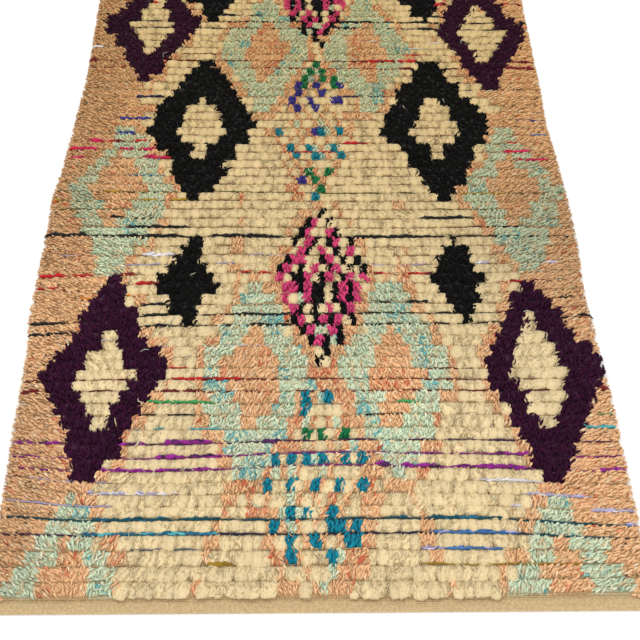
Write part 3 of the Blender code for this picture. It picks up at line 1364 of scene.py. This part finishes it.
@dataclass(frozen=True)
class Weave:
    """The finish of the woven ground: fine weft ribs over warps."""

    name: str = "ground_weave"
    weft_scale: float = 100.0
    warp_scale: float = 60.0
    mottle_scale: float = 220.0

    def material(self) -> bpy.types.Material:
        """Builds the material."""
        material = bpy.data.materials.new(self.name)
        material.use_nodes = True
        nodes, links = material.node_tree.nodes, material.node_tree.links
        shader = nodes["Principled BSDF"]
        shader.inputs["Roughness"].default_value = 0.95
        shader.inputs["Sheen Weight"].default_value = 0.15
        shader.inputs["Specular IOR Level"].default_value = 0.15
        colour = nodes.new("ShaderNodeAttribute")
        colour.attribute_name = COLOUR
        place = nodes.new("ShaderNodeTexCoord")
        ribs = []
        for direction, scale in (("Y", self.weft_scale), ("X", self.warp_scale)):
            wave = nodes.new("ShaderNodeTexWave")
            wave.bands_direction = direction
            wave.inputs["Scale"].default_value = scale
            wave.inputs["Distortion"].default_value = 0.8
            wave.inputs["Detail"].default_value = 1.0
            links.new(place.outputs["Object"], wave.inputs["Vector"])
            ribs.append(wave)
        mottle = nodes.new("ShaderNodeTexNoise")
        mottle.inputs["Scale"].default_value = self.mottle_scale
        mottle.inputs["Detail"].default_value = 4.0
        links.new(place.outputs["Object"], mottle.inputs["Vector"])
        light = nodes.new("ShaderNodeMapRange")
        light.inputs["From Min"].default_value = 0.3
        light.inputs["From Max"].default_value = 0.7
        light.inputs["To Min"].default_value = 0.78
        light.inputs["To Max"].default_value = 1.15
        links.new(mottle.outputs["Fac"], light.inputs["Value"])
        mottled = nodes.new("ShaderNodeVectorMath")
        mottled.operation = "SCALE"
        links.new(colour.outputs["Color"], mottled.inputs[0])
        links.new(light.outputs["Result"], mottled.inputs["Scale"])
        links.new(mottled.outputs["Vector"], shader.inputs["Base Color"])
        woven = nodes.new("ShaderNodeMath")
        woven.operation = "MULTIPLY_ADD"
        woven.inputs[1].default_value = 0.4
        links.new(ribs[1].outputs["Fac"], woven.inputs[0])
        links.new(ribs[0].outputs["Fac"], woven.inputs[2])
        bump = nodes.new("ShaderNodeBump")
        bump.inputs["Strength"].default_value = 0.8
        bump.inputs["Distance"].default_value = 0.0012
        links.new(woven.outputs["Value"], bump.inputs["Height"])
        links.new(bump.outputs["Normal"], shader.inputs["Normal"])
        return material


WEFT_SHADES = {
    # Painted shade, in part: the plain weft is real, and its brown (darker for the far lines) stands for the
    # shade in the line between two rows.
    "none": "B89A6C",
    "brown": "A5845A",
    "black": "14120F",
    "white": "DAD6D8",
    "lavender": "AFA7C8",
    "blue": "3E6FA8",
    "teal": "0E4A55",
    "teal_blue": "1F6C8C",
    "magenta": "8E1F86",
    "purple": "4A1E4E",
    "turquoise": "52B4BC",
    "green": "3F9A55",
    "dark_red": "6E1414",
    "red": "B81A1E",
    "crimson": "B5174A",
    "orange": "D9812F",
    "mustard": "A9861E",
    "olive": "5C5A2A",
    "indigo": "33337F",
    "navy": "1F1F45",
    "grey": "6F747A",
}


MIXED_IN = {"blue": "lavender", "teal_blue": "turquoise", "teal": "teal_blue", "turquoise": "white",
            "lavender": "white", "magenta": "purple", "red": "dark_red", "crimson": "red"}


@dataclass(frozen=True)
class WeftLine:
    """One line of weft. Radii are in millimetres.

    gap says how far the pile parts over the line. bits lists the stretches of other wool in it, each
    by the x of both ends, its radius and its shade.
    """

    shade: str
    radius: float
    gap: float
    bits: tuple[tuple[float, float, float, str], ...] = ()

    def gap_at(self, x: float) -> float:
        """How far the pile parts at x: as far as gap says, and less where the line is plain."""
        if self.shade != "none" or any(x0 - 0.01 < x < x1 + 0.01 for x0, x1, _, _ in self.bits):
            return self.gap
        return self.gap - 0.35


WEFT_LINES = {
    2: WeftLine("none", 1.2, 0.3, (
        (-0.19, -0.15, 3.0, "mustard"), (0.20, 0.48, 1.3, "mustard"), (0.38, 0.48, 1.8, "mustard"),
    )),
    3: WeftLine("none", 1.2, 0.4, (
        (-0.34, -0.22, 1.4, "grey"), (0.20, 0.29, 2.4, "blue"), (0.30, 0.33, 2.0, "blue"),
    )),
    4: WeftLine("navy", 1.3, 0.8, (
        (-0.57, -0.41, 1.5, "purple"), (-0.41, -0.33, 2.4, "teal_blue"),
        (-0.31, -0.30, 2.2, "teal_blue"), (-0.28, -0.18, 2.4, "teal_blue"), (0.22, 0.37, 2.2, "blue"),
        (0.39, 0.54, 1.4, "teal"),
    )),
    5: WeftLine("teal", 1.6, 1.0, (
        (-0.57, -0.41, 1.7, "teal"), (-0.41, -0.27, 2.4, "teal"), (-0.23, -0.18, 2.5, "teal"),
        (0.14, 0.17, 3.4, "teal"), (0.22, 0.26, 2.8, "teal"), (0.28, 0.34, 2.6, "teal"),
        (0.58, 0.60, 2.4, "blue"),
    )),
    6: WeftLine("none", 1.0, 0.2, (
        (-0.58, -0.37, 1.8, "lavender"), (0.52, 0.60, 2.8, "lavender"), (0.37, 0.40, 1.9, "white"),
    )),
    7: WeftLine("none", 1.0, 0.3, (
        (-0.42, -0.26, 2.0, "lavender"), (0.40, 0.51, 2.1, "lavender"),
    )),
    8: WeftLine("none", 1.0, 0.2, (
        (-0.53, -0.40, 1.5, "lavender"), (0.32, 0.43, 2.0, "white"),
    )),
    9: WeftLine("magenta", 1.1, 0.9, (
        (-0.57, -0.46, 1.3, "magenta"), (-0.40, -0.19, 1.9, "magenta"), (-0.37, -0.35, 2.6, "magenta"),
        (-0.27, -0.26, 2.6, "magenta"), (0.12, 0.145, 5.0, "magenta"), (0.17, 0.22, 3.8, "magenta"),
        (0.22, 0.25, 2.2, "magenta"), (0.27, 0.40, 1.9, "magenta"), (0.32, 0.40, 3.0, "magenta"),
        (0.55, 0.60, 2.8, "magenta"),
    )),
    10: WeftLine("magenta", 1.2, 0.9, (
        (-0.58, -0.47, 1.4, "magenta"), (-0.30, -0.25, 4.6, "magenta"), (-0.23, -0.19, 2.8, "magenta"),
        (-0.19, -0.10, 1.4, "magenta"), (-0.02, 0.06, 1.5, "magenta"), (0.36, 0.41, 2.7, "magenta"),
    )),
    11: WeftLine("purple", 1.2, 0.8, (
        (-0.58, -0.55, 2.3, "magenta"), (-0.52, -0.49, 2.5, "magenta"), (-0.38, -0.33, 2.5, "magenta"),
        (-0.28, -0.22, 4.6, "magenta"), (-0.21, -0.20, 2.4, "magenta"), (-0.10, -0.07, 3.4, "purple"),
    )),
    12: WeftLine("none", 1.0, 0.3, (
        (-0.34, -0.29, 1.2, "turquoise"), (-0.24, -0.19, 1.2, "turquoise"),
        (0.50, 0.60, 2.2, "turquoise"),
    )),
    13: WeftLine("none", 1.2, 0.5, (
        (-0.35, -0.23, 1.4, "black"), (0.58, 0.61, 1.8, "green"), (0.11, 0.18, 1.3, "black"),
    )),
    14: WeftLine("none", 1.2, 0.5, (
        (-0.35, -0.21, 2.4, "green"), (0.17, 0.20, 2.2, "green"), (-0.04, -0.02, 1.8, "green"),
    )),
    15: WeftLine("dark_red", 1.2, 0.7, (
        (-0.59, -0.53, 3.2, "dark_red"), (-0.31, -0.24, 2.0, "dark_red"), (0.01, 0.03, 1.8, "dark_red"),
        (0.575, 0.60, 3.4, "dark_red"),
    )),
    16: WeftLine("dark_red", 1.2, 0.8, (
        (-0.59, -0.53, 2.2, "dark_red"), (-0.28, -0.15, 2.4, "red"), (-0.15, -0.07, 1.5, "dark_red"),
        (0.57, 0.60, 3.0, "dark_red"),
    )),
    17: WeftLine("none", 1.1, 0.4, (
        (-0.30, -0.25, 1.5, "red"), (0.24, 0.33, 1.3, "dark_red"),
    )),
    18: WeftLine("none", 1.0, 0.2, ((-0.31, -0.26, 1.5, "white"), (0.56, 0.60, 2.2, "white"))),
    19: WeftLine("none", 1.0, 0.25, (
        (-0.37, -0.31, 1.4, "white"), (-0.17, -0.08, 1.4, "white"),
    )),
    20: WeftLine("none", 1.0, 0.3, ((-0.45, -0.41, 1.4, "white"),)),
    21: WeftLine("black", 1.3, 0.9, (
        (-0.60, -0.51, 1.9, "black"), (-0.37, -0.30, 2.1, "black"), (-0.13, -0.05, 2.0, "black"),
        (-0.01, 0.04, 1.9, "black"), (0.585, 0.615, 4.0, "black"),
    )),
    22: WeftLine("black", 1.3, 0.9, (
        (-0.60, -0.53, 2.9, "black"), (-0.39, -0.37, 2.0, "black"), (-0.35, -0.29, 2.2, "black"),
        (-0.16, -0.05, 2.0, "black"), (-0.01, 0.05, 1.9, "black"),
    )),
    23: WeftLine("none", 1.2, 0.6, (
        (-0.36, -0.32, 2.2, "black"), (0.14, 0.17, 1.8, "black"), (0.21, 0.25, 2.4, "black"),
        (0.545, 0.565, 3.0, "black"),
    )),
    24: WeftLine("none", 1.0, 0.3, (
        (-0.40, -0.37, 2.0, "orange"), (-0.49, -0.48, 1.9, "orange"), (0.21, 0.25, 1.7, "orange"),
    )),
    25: WeftLine("none", 1.2, 0.4, (
        (-0.61, -0.59, 2.0, "red"), (-0.57, -0.54, 2.0, "red"), (-0.38, -0.33, 3.6, "red"),
        (0.43, 0.46, 2.2, "red"), (0.455, 0.475, 4.4, "red"), (0.49, 0.51, 2.0, "red"),
    )),
    26: WeftLine("none", 1.2, 0.5, (
        (-0.61, -0.54, 3.6, "red"), (-0.52, -0.49, 2.2, "red"), (-0.43, -0.39, 2.0, "red"),
        (-0.15, -0.14, 2.0, "red"),
        (-0.11, -0.10, 1.9, "red"), (0.14, 0.16, 2.6, "red"), (0.21, 0.26, 2.0, "red"),
    )),
    27: WeftLine("none", 1.0, 0.3, (
        (-0.44, -0.31, 1.4, "lavender"), (-0.22, -0.12, 1.4, "lavender"), (0.13, 0.25, 1.3, "lavender"),
        (0.37, 0.39, 2.6, "lavender"), (0.53, 0.55, 2.2, "lavender"), (0.59, 0.61, 2.4, "lavender"),
    )),
    28: WeftLine("none", 1.0, 0.3, (
        (-0.55, -0.53, 1.6, "lavender"), (-0.37, -0.31, 2.6, "white"), (-0.13, -0.07, 1.3, "lavender"),
    )),
    30: WeftLine("black", 1.4, 1.0, (
        (-0.60, -0.51, 2.9, "black"), (-0.43, -0.30, 2.5, "black"), (-0.22, -0.08, 2.4, "black"),
        (0.08, 0.26, 1.9, "black"),
    )),
    31: WeftLine("none", 1.2, 0.5, (
        (-0.41, -0.29, 1.9, "black"), (0.37, 0.48, 1.7, "black"),
    )),
    32: WeftLine("none", 1.2, 0.5, (
        (-0.46, -0.44, 2.2, "black"), (0.26, 0.37, 1.9, "black"), (-0.42, -0.37, 1.7, "black"),
    )),
    33: WeftLine("none", 1.2, 0.4, (
        (-0.59, -0.45, 1.3, "olive"), (0.30, 0.44, 1.3, "olive"),
    )),
    34: WeftLine("none", 1.2, 0.5, (
        (-0.61, -0.59, 2.0, "mustard"), (-0.39, -0.36, 2.2, "mustard"), (-0.32, -0.29, 2.2, "mustard"),
        (-0.60, -0.49, 1.3, "olive"),
    )),
    35: WeftLine("olive", 1.2, 0.5, (
        (-0.48, -0.46, 1.9, "mustard"), (-0.19, -0.02, 1.4, "olive"), (0.31, 0.45, 1.4, "mustard"),
    )),
    37: WeftLine("none", 1.1, 0.4, ((-0.43, -0.35, 1.5, "teal_blue"),)),
    39: WeftLine("none", 1.2, 0.4, (
        (-0.60, -0.59, 2.0, "crimson"), (-0.57, -0.55, 2.0, "crimson"), (-0.40, -0.34, 2.6, "crimson"),
        (0.51, 0.58, 1.9, "crimson"),
    )),
    40: WeftLine("none", 1.2, 0.5, (
        (-0.60, -0.53, 2.4, "crimson"), (-0.46, -0.44, 2.0, "crimson"), (-0.41, -0.37, 2.0, "crimson"),
        (-0.06, 0.05, 1.6, "red"), (0.47, 0.53, 1.9, "crimson"),
    )),
    41: WeftLine("none", 1.2, 0.5, (
        (-0.54, -0.51, 2.9, "crimson"), (-0.49, -0.47, 1.9, "red"), (-0.43, -0.41, 2.0, "red"),
        (0.09, 0.13, 2.2, "red"), (0.20, 0.23, 1.9, "red"), (0.49, 0.52, 1.9, "red"),
    )),
    42: WeftLine("none", 1.1, 0.4, (
        (-0.47, -0.44, 2.2, "indigo"), (-0.41, -0.39, 2.2, "indigo"), (0.55, 0.59, 1.7, "blue"),
    )),
    44: WeftLine("none", 1.1, 0.5, (
        (-0.47, -0.44, 2.2, "indigo"), (-0.44, -0.41, 2.2, "indigo"), (0.53, 0.64, 1.8, "indigo"),
    )),
    47: WeftLine("none", 1.2, 0.5, (
        (-0.44, -0.33, 2.0, "navy"), (0.08, 0.18, 1.5, "navy"),
    )),
    48: WeftLine("none", 1.2, 0.4, ((0.42, 0.55, 1.4, "navy"),)),
}
PLAIN_WEFT = WeftLine("none", 1.1, 0.0)
FIRST_BROWN_LINE = 28
SEEN_LINES = 51
REPEAT = 36


def weft_at(line: int) -> WeftLine:
    """The weft of a line.

    Beyond the stretch that was seen, the lines repeat with left and right changed. From
    FIRST_BROWN_LINE on, the plain lines are brown and show between the rows, in part as painted shade.
    """
    weft = WEFT_LINES.get(line, PLAIN_WEFT)
    if line >= SEEN_LINES:
        twin = WEFT_LINES.get(SEEN_LINES - REPEAT + (line - SEEN_LINES) % REPEAT, PLAIN_WEFT)
        weft = replace(twin, bits=tuple((-x1, -x0, radius, shade) for x0, x1, radius, shade in twin.bits))
    # Painted shade, in part: far plain lines take the darker brown that shows as a line between the rows.
    if line >= FIRST_BROWN_LINE and weft.shade == "none":
        weft = replace(weft, shade="brown", gap=max(weft.gap, 0.4))
    return weft


@dataclass
class WeftLines:
    """The lines of coloured weft between the rows of knots, and the thick slubs in them."""

    loom: Loom
    chart: Chart
    steps: int = 72
    height: float = 0.0122
    hidden_drop: float = 0.0070
    thicker: float = 1.35
    slub_from: float = 1.9
    slub_length: float = 0.022
    far_thicker: float = 1.45

    def hidden(self, x: np.ndarray, line: int) -> np.ndarray:
        """Whether the dark pile round a line covers it, at each x."""
        covered = np.zeros(len(x), bool)
        for row in (line - 1, line):
            if 0 <= row < self.loom.rows:
                knots = np.abs(self.chart.x[row][None] - x[:, None]).argmin(axis=1)
                yarns = self.chart.yarns[row, knots]
                covered |= (yarns == Yarn.BLACK.value) | (yarns == Yarn.AUBERGINE.value)
        return covered

    def template(self) -> tuple[np.ndarray, np.ndarray]:
        """Makes one thin straight tube of many steps.

        Returns:
            Its corners and its triangles.
        """
        mesh = bmesh.new()
        bmesh.ops.create_cone(mesh, cap_ends=True, segments=3, radius1=1, radius2=1, depth=1.0)
        for cut in range(1, self.steps):
            bmesh.ops.bisect_plane(
                mesh,
                geom=mesh.verts[:] + mesh.edges[:] + mesh.faces[:],
                plane_co=(0, 0, cut / self.steps - 0.5),
                plane_no=(0, 0, 1),
            )
        bmesh.ops.triangulate(mesh, faces=mesh.faces)
        mesh.verts.index_update()
        corners = np.array([vertex.co[:] for vertex in mesh.verts])
        faces = np.array([[vertex.index for vertex in face.verts] for face in mesh.faces])
        mesh.free()
        return corners, faces

    def build(self) -> bpy.types.Object:
        """Makes all the lines as one piece: a thin tube for each."""
        rng = np.random.default_rng(5)
        made, faces, colours = [], [], []
        template, corners = self.template()
        step = np.round((template[:, 2] + 0.5) * self.steps).astype(int)
        turn = np.arctan2(template[:, 1], template[:, 0])
        for line in range(self.loom.rows + 1):
            weft = weft_at(line)
            distance = np.array(self.loom.end_band + line * self.loom.pitch)
            left, right = (float(edge) for edge in self.loom.edges(distance))
            x = np.linspace(left + 0.009, right - 0.009, self.steps + 1)
            sway = np.array([uneven(a / 0.022, line * 4.7, Layer.SWAY) for a in x])
            y = np.array([self.loom.line_place(a, line) for a in x]) + 0.0016 * sway
            swell = np.array([uneven(a / 0.03, line * 3.1, Layer.SWELL) for a in x])
            radius = weft.radius * 0.001 * self.thicker * (1 + 0.6 * swell)
            colour = np.tile(linear(WEFT_SHADES[weft.shade]), (len(x), 1))
            for x0, x1, thick, shade in weft.bits:
                within = (x > x0 - 0.006) & (x < x1 + 0.006)
                colour[within] = linear(WEFT_SHADES[shade])
                radius[within] = np.maximum(radius[within], min(thick, 1.8) * 0.001 * self.thicker)
            z = self.height + 0.6 * (radius - 0.0012) + 0.0009 * sway + rng.normal(0, 0.0005, len(x))
            z = z - self.hidden_drop * self.hidden(x, line)
            fall = self.loom.rim_fall(x, distance)
            z = z * (1 - self.loom.rim_drop * fall**2)
            places = np.stack([
                x[step],
                y[step] + radius[step] * np.cos(turn),
                z[step] + radius[step] * np.sin(turn),
            ], 1)
            faces.append(corners + len(template) * line)
            made.append(places)
            colours.append(colour[step])
        piece = add_mesh("coloured_weft", np.concatenate(made), np.concatenate(faces))
        add_colours(piece.data, np.concatenate(colours))
        return piece

    def build_slubs(self) -> bpy.types.Object:
        """Makes the thick slubs as one piece of short spindles."""
        rng = np.random.default_rng(6)
        paths, radii, colours = [], [], []
        for line in range(self.loom.rows + 1):
            for x0, x1, thick, shade in weft_at(line).bits:
                if thick < self.slub_from:
                    continue
                distance = np.array(self.loom.end_band + line * self.loom.pitch)
                left, right = (float(edge) for edge in self.loom.edges(distance))
                x0, x1 = max(x0, left + 0.010), min(x1, right - 0.010)
                if x1 - x0 < 0.004:
                    continue
                count = max(3, 3 * round((x1 - x0) / self.slub_length))
                if line >= FIRST_BROWN_LINE:
                    thick *= self.far_thicker
                for index in range(count):
                    middle = x0 + (index + 0.5) / count * (x1 - x0) + rng.normal(0, 0.003)
                    half = rng.uniform(0.006, 0.015)
                    if self.hidden(np.array([middle]), line)[0]:
                        continue
                    share = np.linspace(-1, 1, 5)
                    x = middle + share * half
                    radius = thick * 0.001 * rng.uniform(0.7, 1.4)
                    stray = rng.normal(0, 0.35) * thick * 0.001
                    slope = rng.normal(0, 0.12) * (x - middle)
                    y = self.loom.line_place(middle, line) + 0.0008 + stray + slope
                    y = y + rng.normal(0, 0.0013, 5)
                    z = self.height + 0.0008 + 0.5 * radius + rng.normal(0, 0.0004, 5)
                    z = z * (1 - self.loom.rim_drop * self.loom.rim_fall(x, distance) ** 2)
                    paths.append(np.stack([x, y, z], 1))
                    radii.append(radius * np.array([0.25, 0.85, 1.0, 0.80, 0.20]) * rng.uniform(0.7, 1.2, 5))
                    light = rng.normal(1, 0.16)
                    drawn = MIXED_IN.get(shade, shade) if rng.random() < 0.28 else shade
                    colours.append(np.tile(linear(WEFT_SHADES[drawn]) * light, (5, 1)))
        piece = copy_strands(
            "weft_slubs", StrandShape(4, 5), np.array(paths), np.array(radii),
            np.clip(colours, 0, 1), rng, across=(0.0, 1.0, 0.0),
        )
        return piece

    def dress(self, piece: bpy.types.Object, slubs: bpy.types.Object) -> None:
        """Gives the lines and the slubs their finish."""
        mesh = piece.data
        add_map(mesh, STRAND_MAP, self.flat_places(mesh))
        yarn = Wool("weft_yarn", sheen=0.1, twist=3.0).material()
        mesh.materials.append(yarn)
        slubs.data.materials.append(yarn)

    def flat_places(self, mesh: bpy.types.Mesh) -> np.ndarray:
        """A place on the strand map for each corner, by its place along the rug's width and length."""
        places = np.empty(len(mesh.vertices) * 3)
        mesh.vertices.foreach_get("co", places)
        index = np.empty(len(mesh.loops), int)
        mesh.loops.foreach_get("vertex_index", index)
        places = places.reshape(-1, 3)[index]
        return np.stack([places[:, 2] * 120, places[:, 0] * 60], 1)


@dataclass
class LooseYarns:
    """Single ends of yarn that have worked loose and lie on top of the pile."""

    loom: Loom
    count: int = 115
    height: float = 0.0172
    radius: float = 0.0010
    known: tuple[tuple[float, float, float, float], ...] = (
        (-0.330, 0.330, 70.0, 0.030),
        (-0.318, 0.300, 120.0, 0.026),
        (-0.345, 0.310, 20.0, 0.022),
        (-0.509, 0.545, 60.0, 0.024),
        (-0.516, 0.535, 100.0, 0.020),
        (0.083, 0.281, 15.0, 0.022),
        (0.110, 0.285, 160.0, 0.020),
    )

    def build(self) -> bpy.types.Object:
        """Makes the loose yarns as one piece. known lists x, distance, direction and length."""
        rng = np.random.default_rng(8)
        paths, colours = [], []
        yarns = list(self.known)
        while len(yarns) < self.count:
            distance = rng.uniform(0.05, self.loom.length - 0.05)
            yarns.append((rng.uniform(-0.55, 0.55), distance, rng.uniform(0, 180), rng.uniform(0.014, 0.034)))
        shades = [linear(shade) for shade in ("EFE2C0", "E4D1A4", "DEAA79", "C9D2B6")]
        for x, distance, turn, length in yarns:
            turns = np.radians(turn) + np.cumsum(rng.normal(0, 0.5, 5))
            steps = np.stack([np.cos(turns), np.sin(turns)], 1) * length / 4
            flat = np.cumsum(steps, axis=0) - steps[0]
            z = self.height + np.array([-0.003, 0.0, 0.0012, 0.0, -0.002]) + rng.normal(0, 0.0004, 5)
            y = distance - self.loom.length / 2
            paths.append(np.stack([x + flat[:, 0], y + flat[:, 1], z], 1))
            shade = shades[rng.choice(4, p=(0.45, 0.25, 0.15, 0.15))]
            colours.append(np.tile(shade, (5, 1)))
        radii = np.tile(self.radius * np.array([0.7, 1.0, 1.1, 0.9, 0.5]), (len(paths), 1))
        radii[: len(self.known)] *= 1.7
        piece = copy_strands(
            "loose_yarns", StrandShape(3, 5), np.array(paths), radii, np.array(colours), rng,
            across=(0.0, 0.0, 1.0),
        )
        return piece

    def dress(self, piece: bpy.types.Object) -> None:
        """Gives the loose yarns their wool."""
        piece.data.materials.append(Wool("loose_yarn", sheen=0.2).material())


@dataclass(frozen=True)
class Studio:
    """The pale floor, the soft lights and the camera."""

    floor_shade: str = "F4F3F1"
    lens: float = 50.0
    camera_place: tuple[float, float, float] = (-0.0224, -1.845, 1.5605)
    camera_tilt: float = 35.0
    camera_pan: float = -1.16

    def add_floor(self) -> None:
        """Makes the floor, a wide disc just below the rug."""
        mesh = bmesh.new()
        bmesh.ops.create_circle(mesh, cap_ends=True, segments=96, radius=14.0)
        bmesh.ops.translate(mesh, verts=mesh.verts, vec=(0, 0, -0.0006))
        data = bpy.data.meshes.new("floor")
        mesh.to_mesh(data)
        mesh.free()
        floor = bpy.data.objects.new("floor", data)
        bpy.context.scene.collection.objects.link(floor)
        material = bpy.data.materials.new("pale_floor")
        material.use_nodes = True
        shader = material.node_tree.nodes["Principled BSDF"]
        shader.inputs["Base Color"].default_value = (*linear(self.floor_shade), 1.0)
        shader.inputs["Roughness"].default_value = 0.9
        shader.inputs["Specular IOR Level"].default_value = 0.1
        data.materials.append(material)

    def add_light(self, name: str, place: tuple[float, float, float], size: float, power: float) -> None:
        """Makes a square area light that points at the rug."""
        data = bpy.data.lights.new(name, "AREA")
        data.shape = "SQUARE"
        data.size = size
        data.energy = power
        light = bpy.data.objects.new(name, data)
        light.location = place
        towards = Vector((0.0, -0.4, 0.0)) - Vector(place)
        light.rotation_euler = towards.to_track_quat("-Z", "Y").to_euler()
        bpy.context.scene.collection.objects.link(light)

    def build(self) -> None:
        """Makes the floor, the lights, the world and the camera."""
        self.add_floor()
        self.add_light("overhead_softbox", (-0.8, 0.2, 3.4), 3.0, 60.0)
        self.add_light("front_fill", (1.6, -3.2, 2.8), 2.5, 38.0)
        world = bpy.data.worlds.new("studio")
        world.use_nodes = True
        back = world.node_tree.nodes["Background"]
        back.inputs["Color"].default_value = (1.0, 1.0, 1.0, 1.0)
        back.inputs["Strength"].default_value = 0.82
        scene = bpy.context.scene
        scene.world = world
        scene.view_settings.view_transform = "Standard"
        data = bpy.data.cameras.new("camera")
        data.lens = self.lens
        data.sensor_width = 36.0
        camera = bpy.data.objects.new("camera", data)
        camera.location = self.camera_place
        tilt = Matrix.Rotation(math.radians(self.camera_tilt), 4, "X")
        pan = Matrix.Rotation(math.radians(self.camera_pan), 4, "Y")
        camera.rotation_euler = (tilt @ pan).to_euler()
        scene.collection.objects.link(camera)
        scene.camera = camera


def report(build: Callable[[], bpy.types.Object], name: str) -> bpy.types.Object:
    """Builds a piece and logs how large it is."""
    piece = build()
    LOG.info("%s: %s, %d faces", name, piece.name, len(piece.data.polygons))
    return piece


def main() -> None:
    """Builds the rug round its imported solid, and the studio."""
    logging.basicConfig(level=logging.INFO, format="%(name)s: %(message)s")
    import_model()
    loom = Loom()
    chart = knotting_chart(loom)

    ground = GroundWeave(loom, chart)
    weave = report(ground.build, "ground")
    ground.dress(weave)
    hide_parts(SLAB)

    under = KnotBed(loom, chart)
    bed = report(under.build, "under-wool")
    under.dress(bed)

    wefts = WeftLines(loom, chart)
    weft = report(wefts.build, "wefts")
    slubs = report(wefts.build_slubs, "slubs")
    wefts.dress(weft, slubs)

    pile = Pile(loom, chart)
    tufts = pile.build()
    pile.dress(tufts)
    for piece in tufts:
        LOG.info("pile: %s, %d faces", piece.name, len(piece.data.polygons))

    strays = LooseYarns(loom)
    loose = report(strays.build, "loose yarns")
    strays.dress(loose)

    on_top = [bed, weft, slubs, *tufts, loose]
    triangles = sum(len(face.vertices) - 2 for piece in (weave, *on_top) for face in piece.data.polygons)
    LOG.info("in all: %d triangles", triangles)
    for piece in (weave, *on_top):
        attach(piece, BODY)
    Studio().build()


if __name__ == "__main__":
    main()
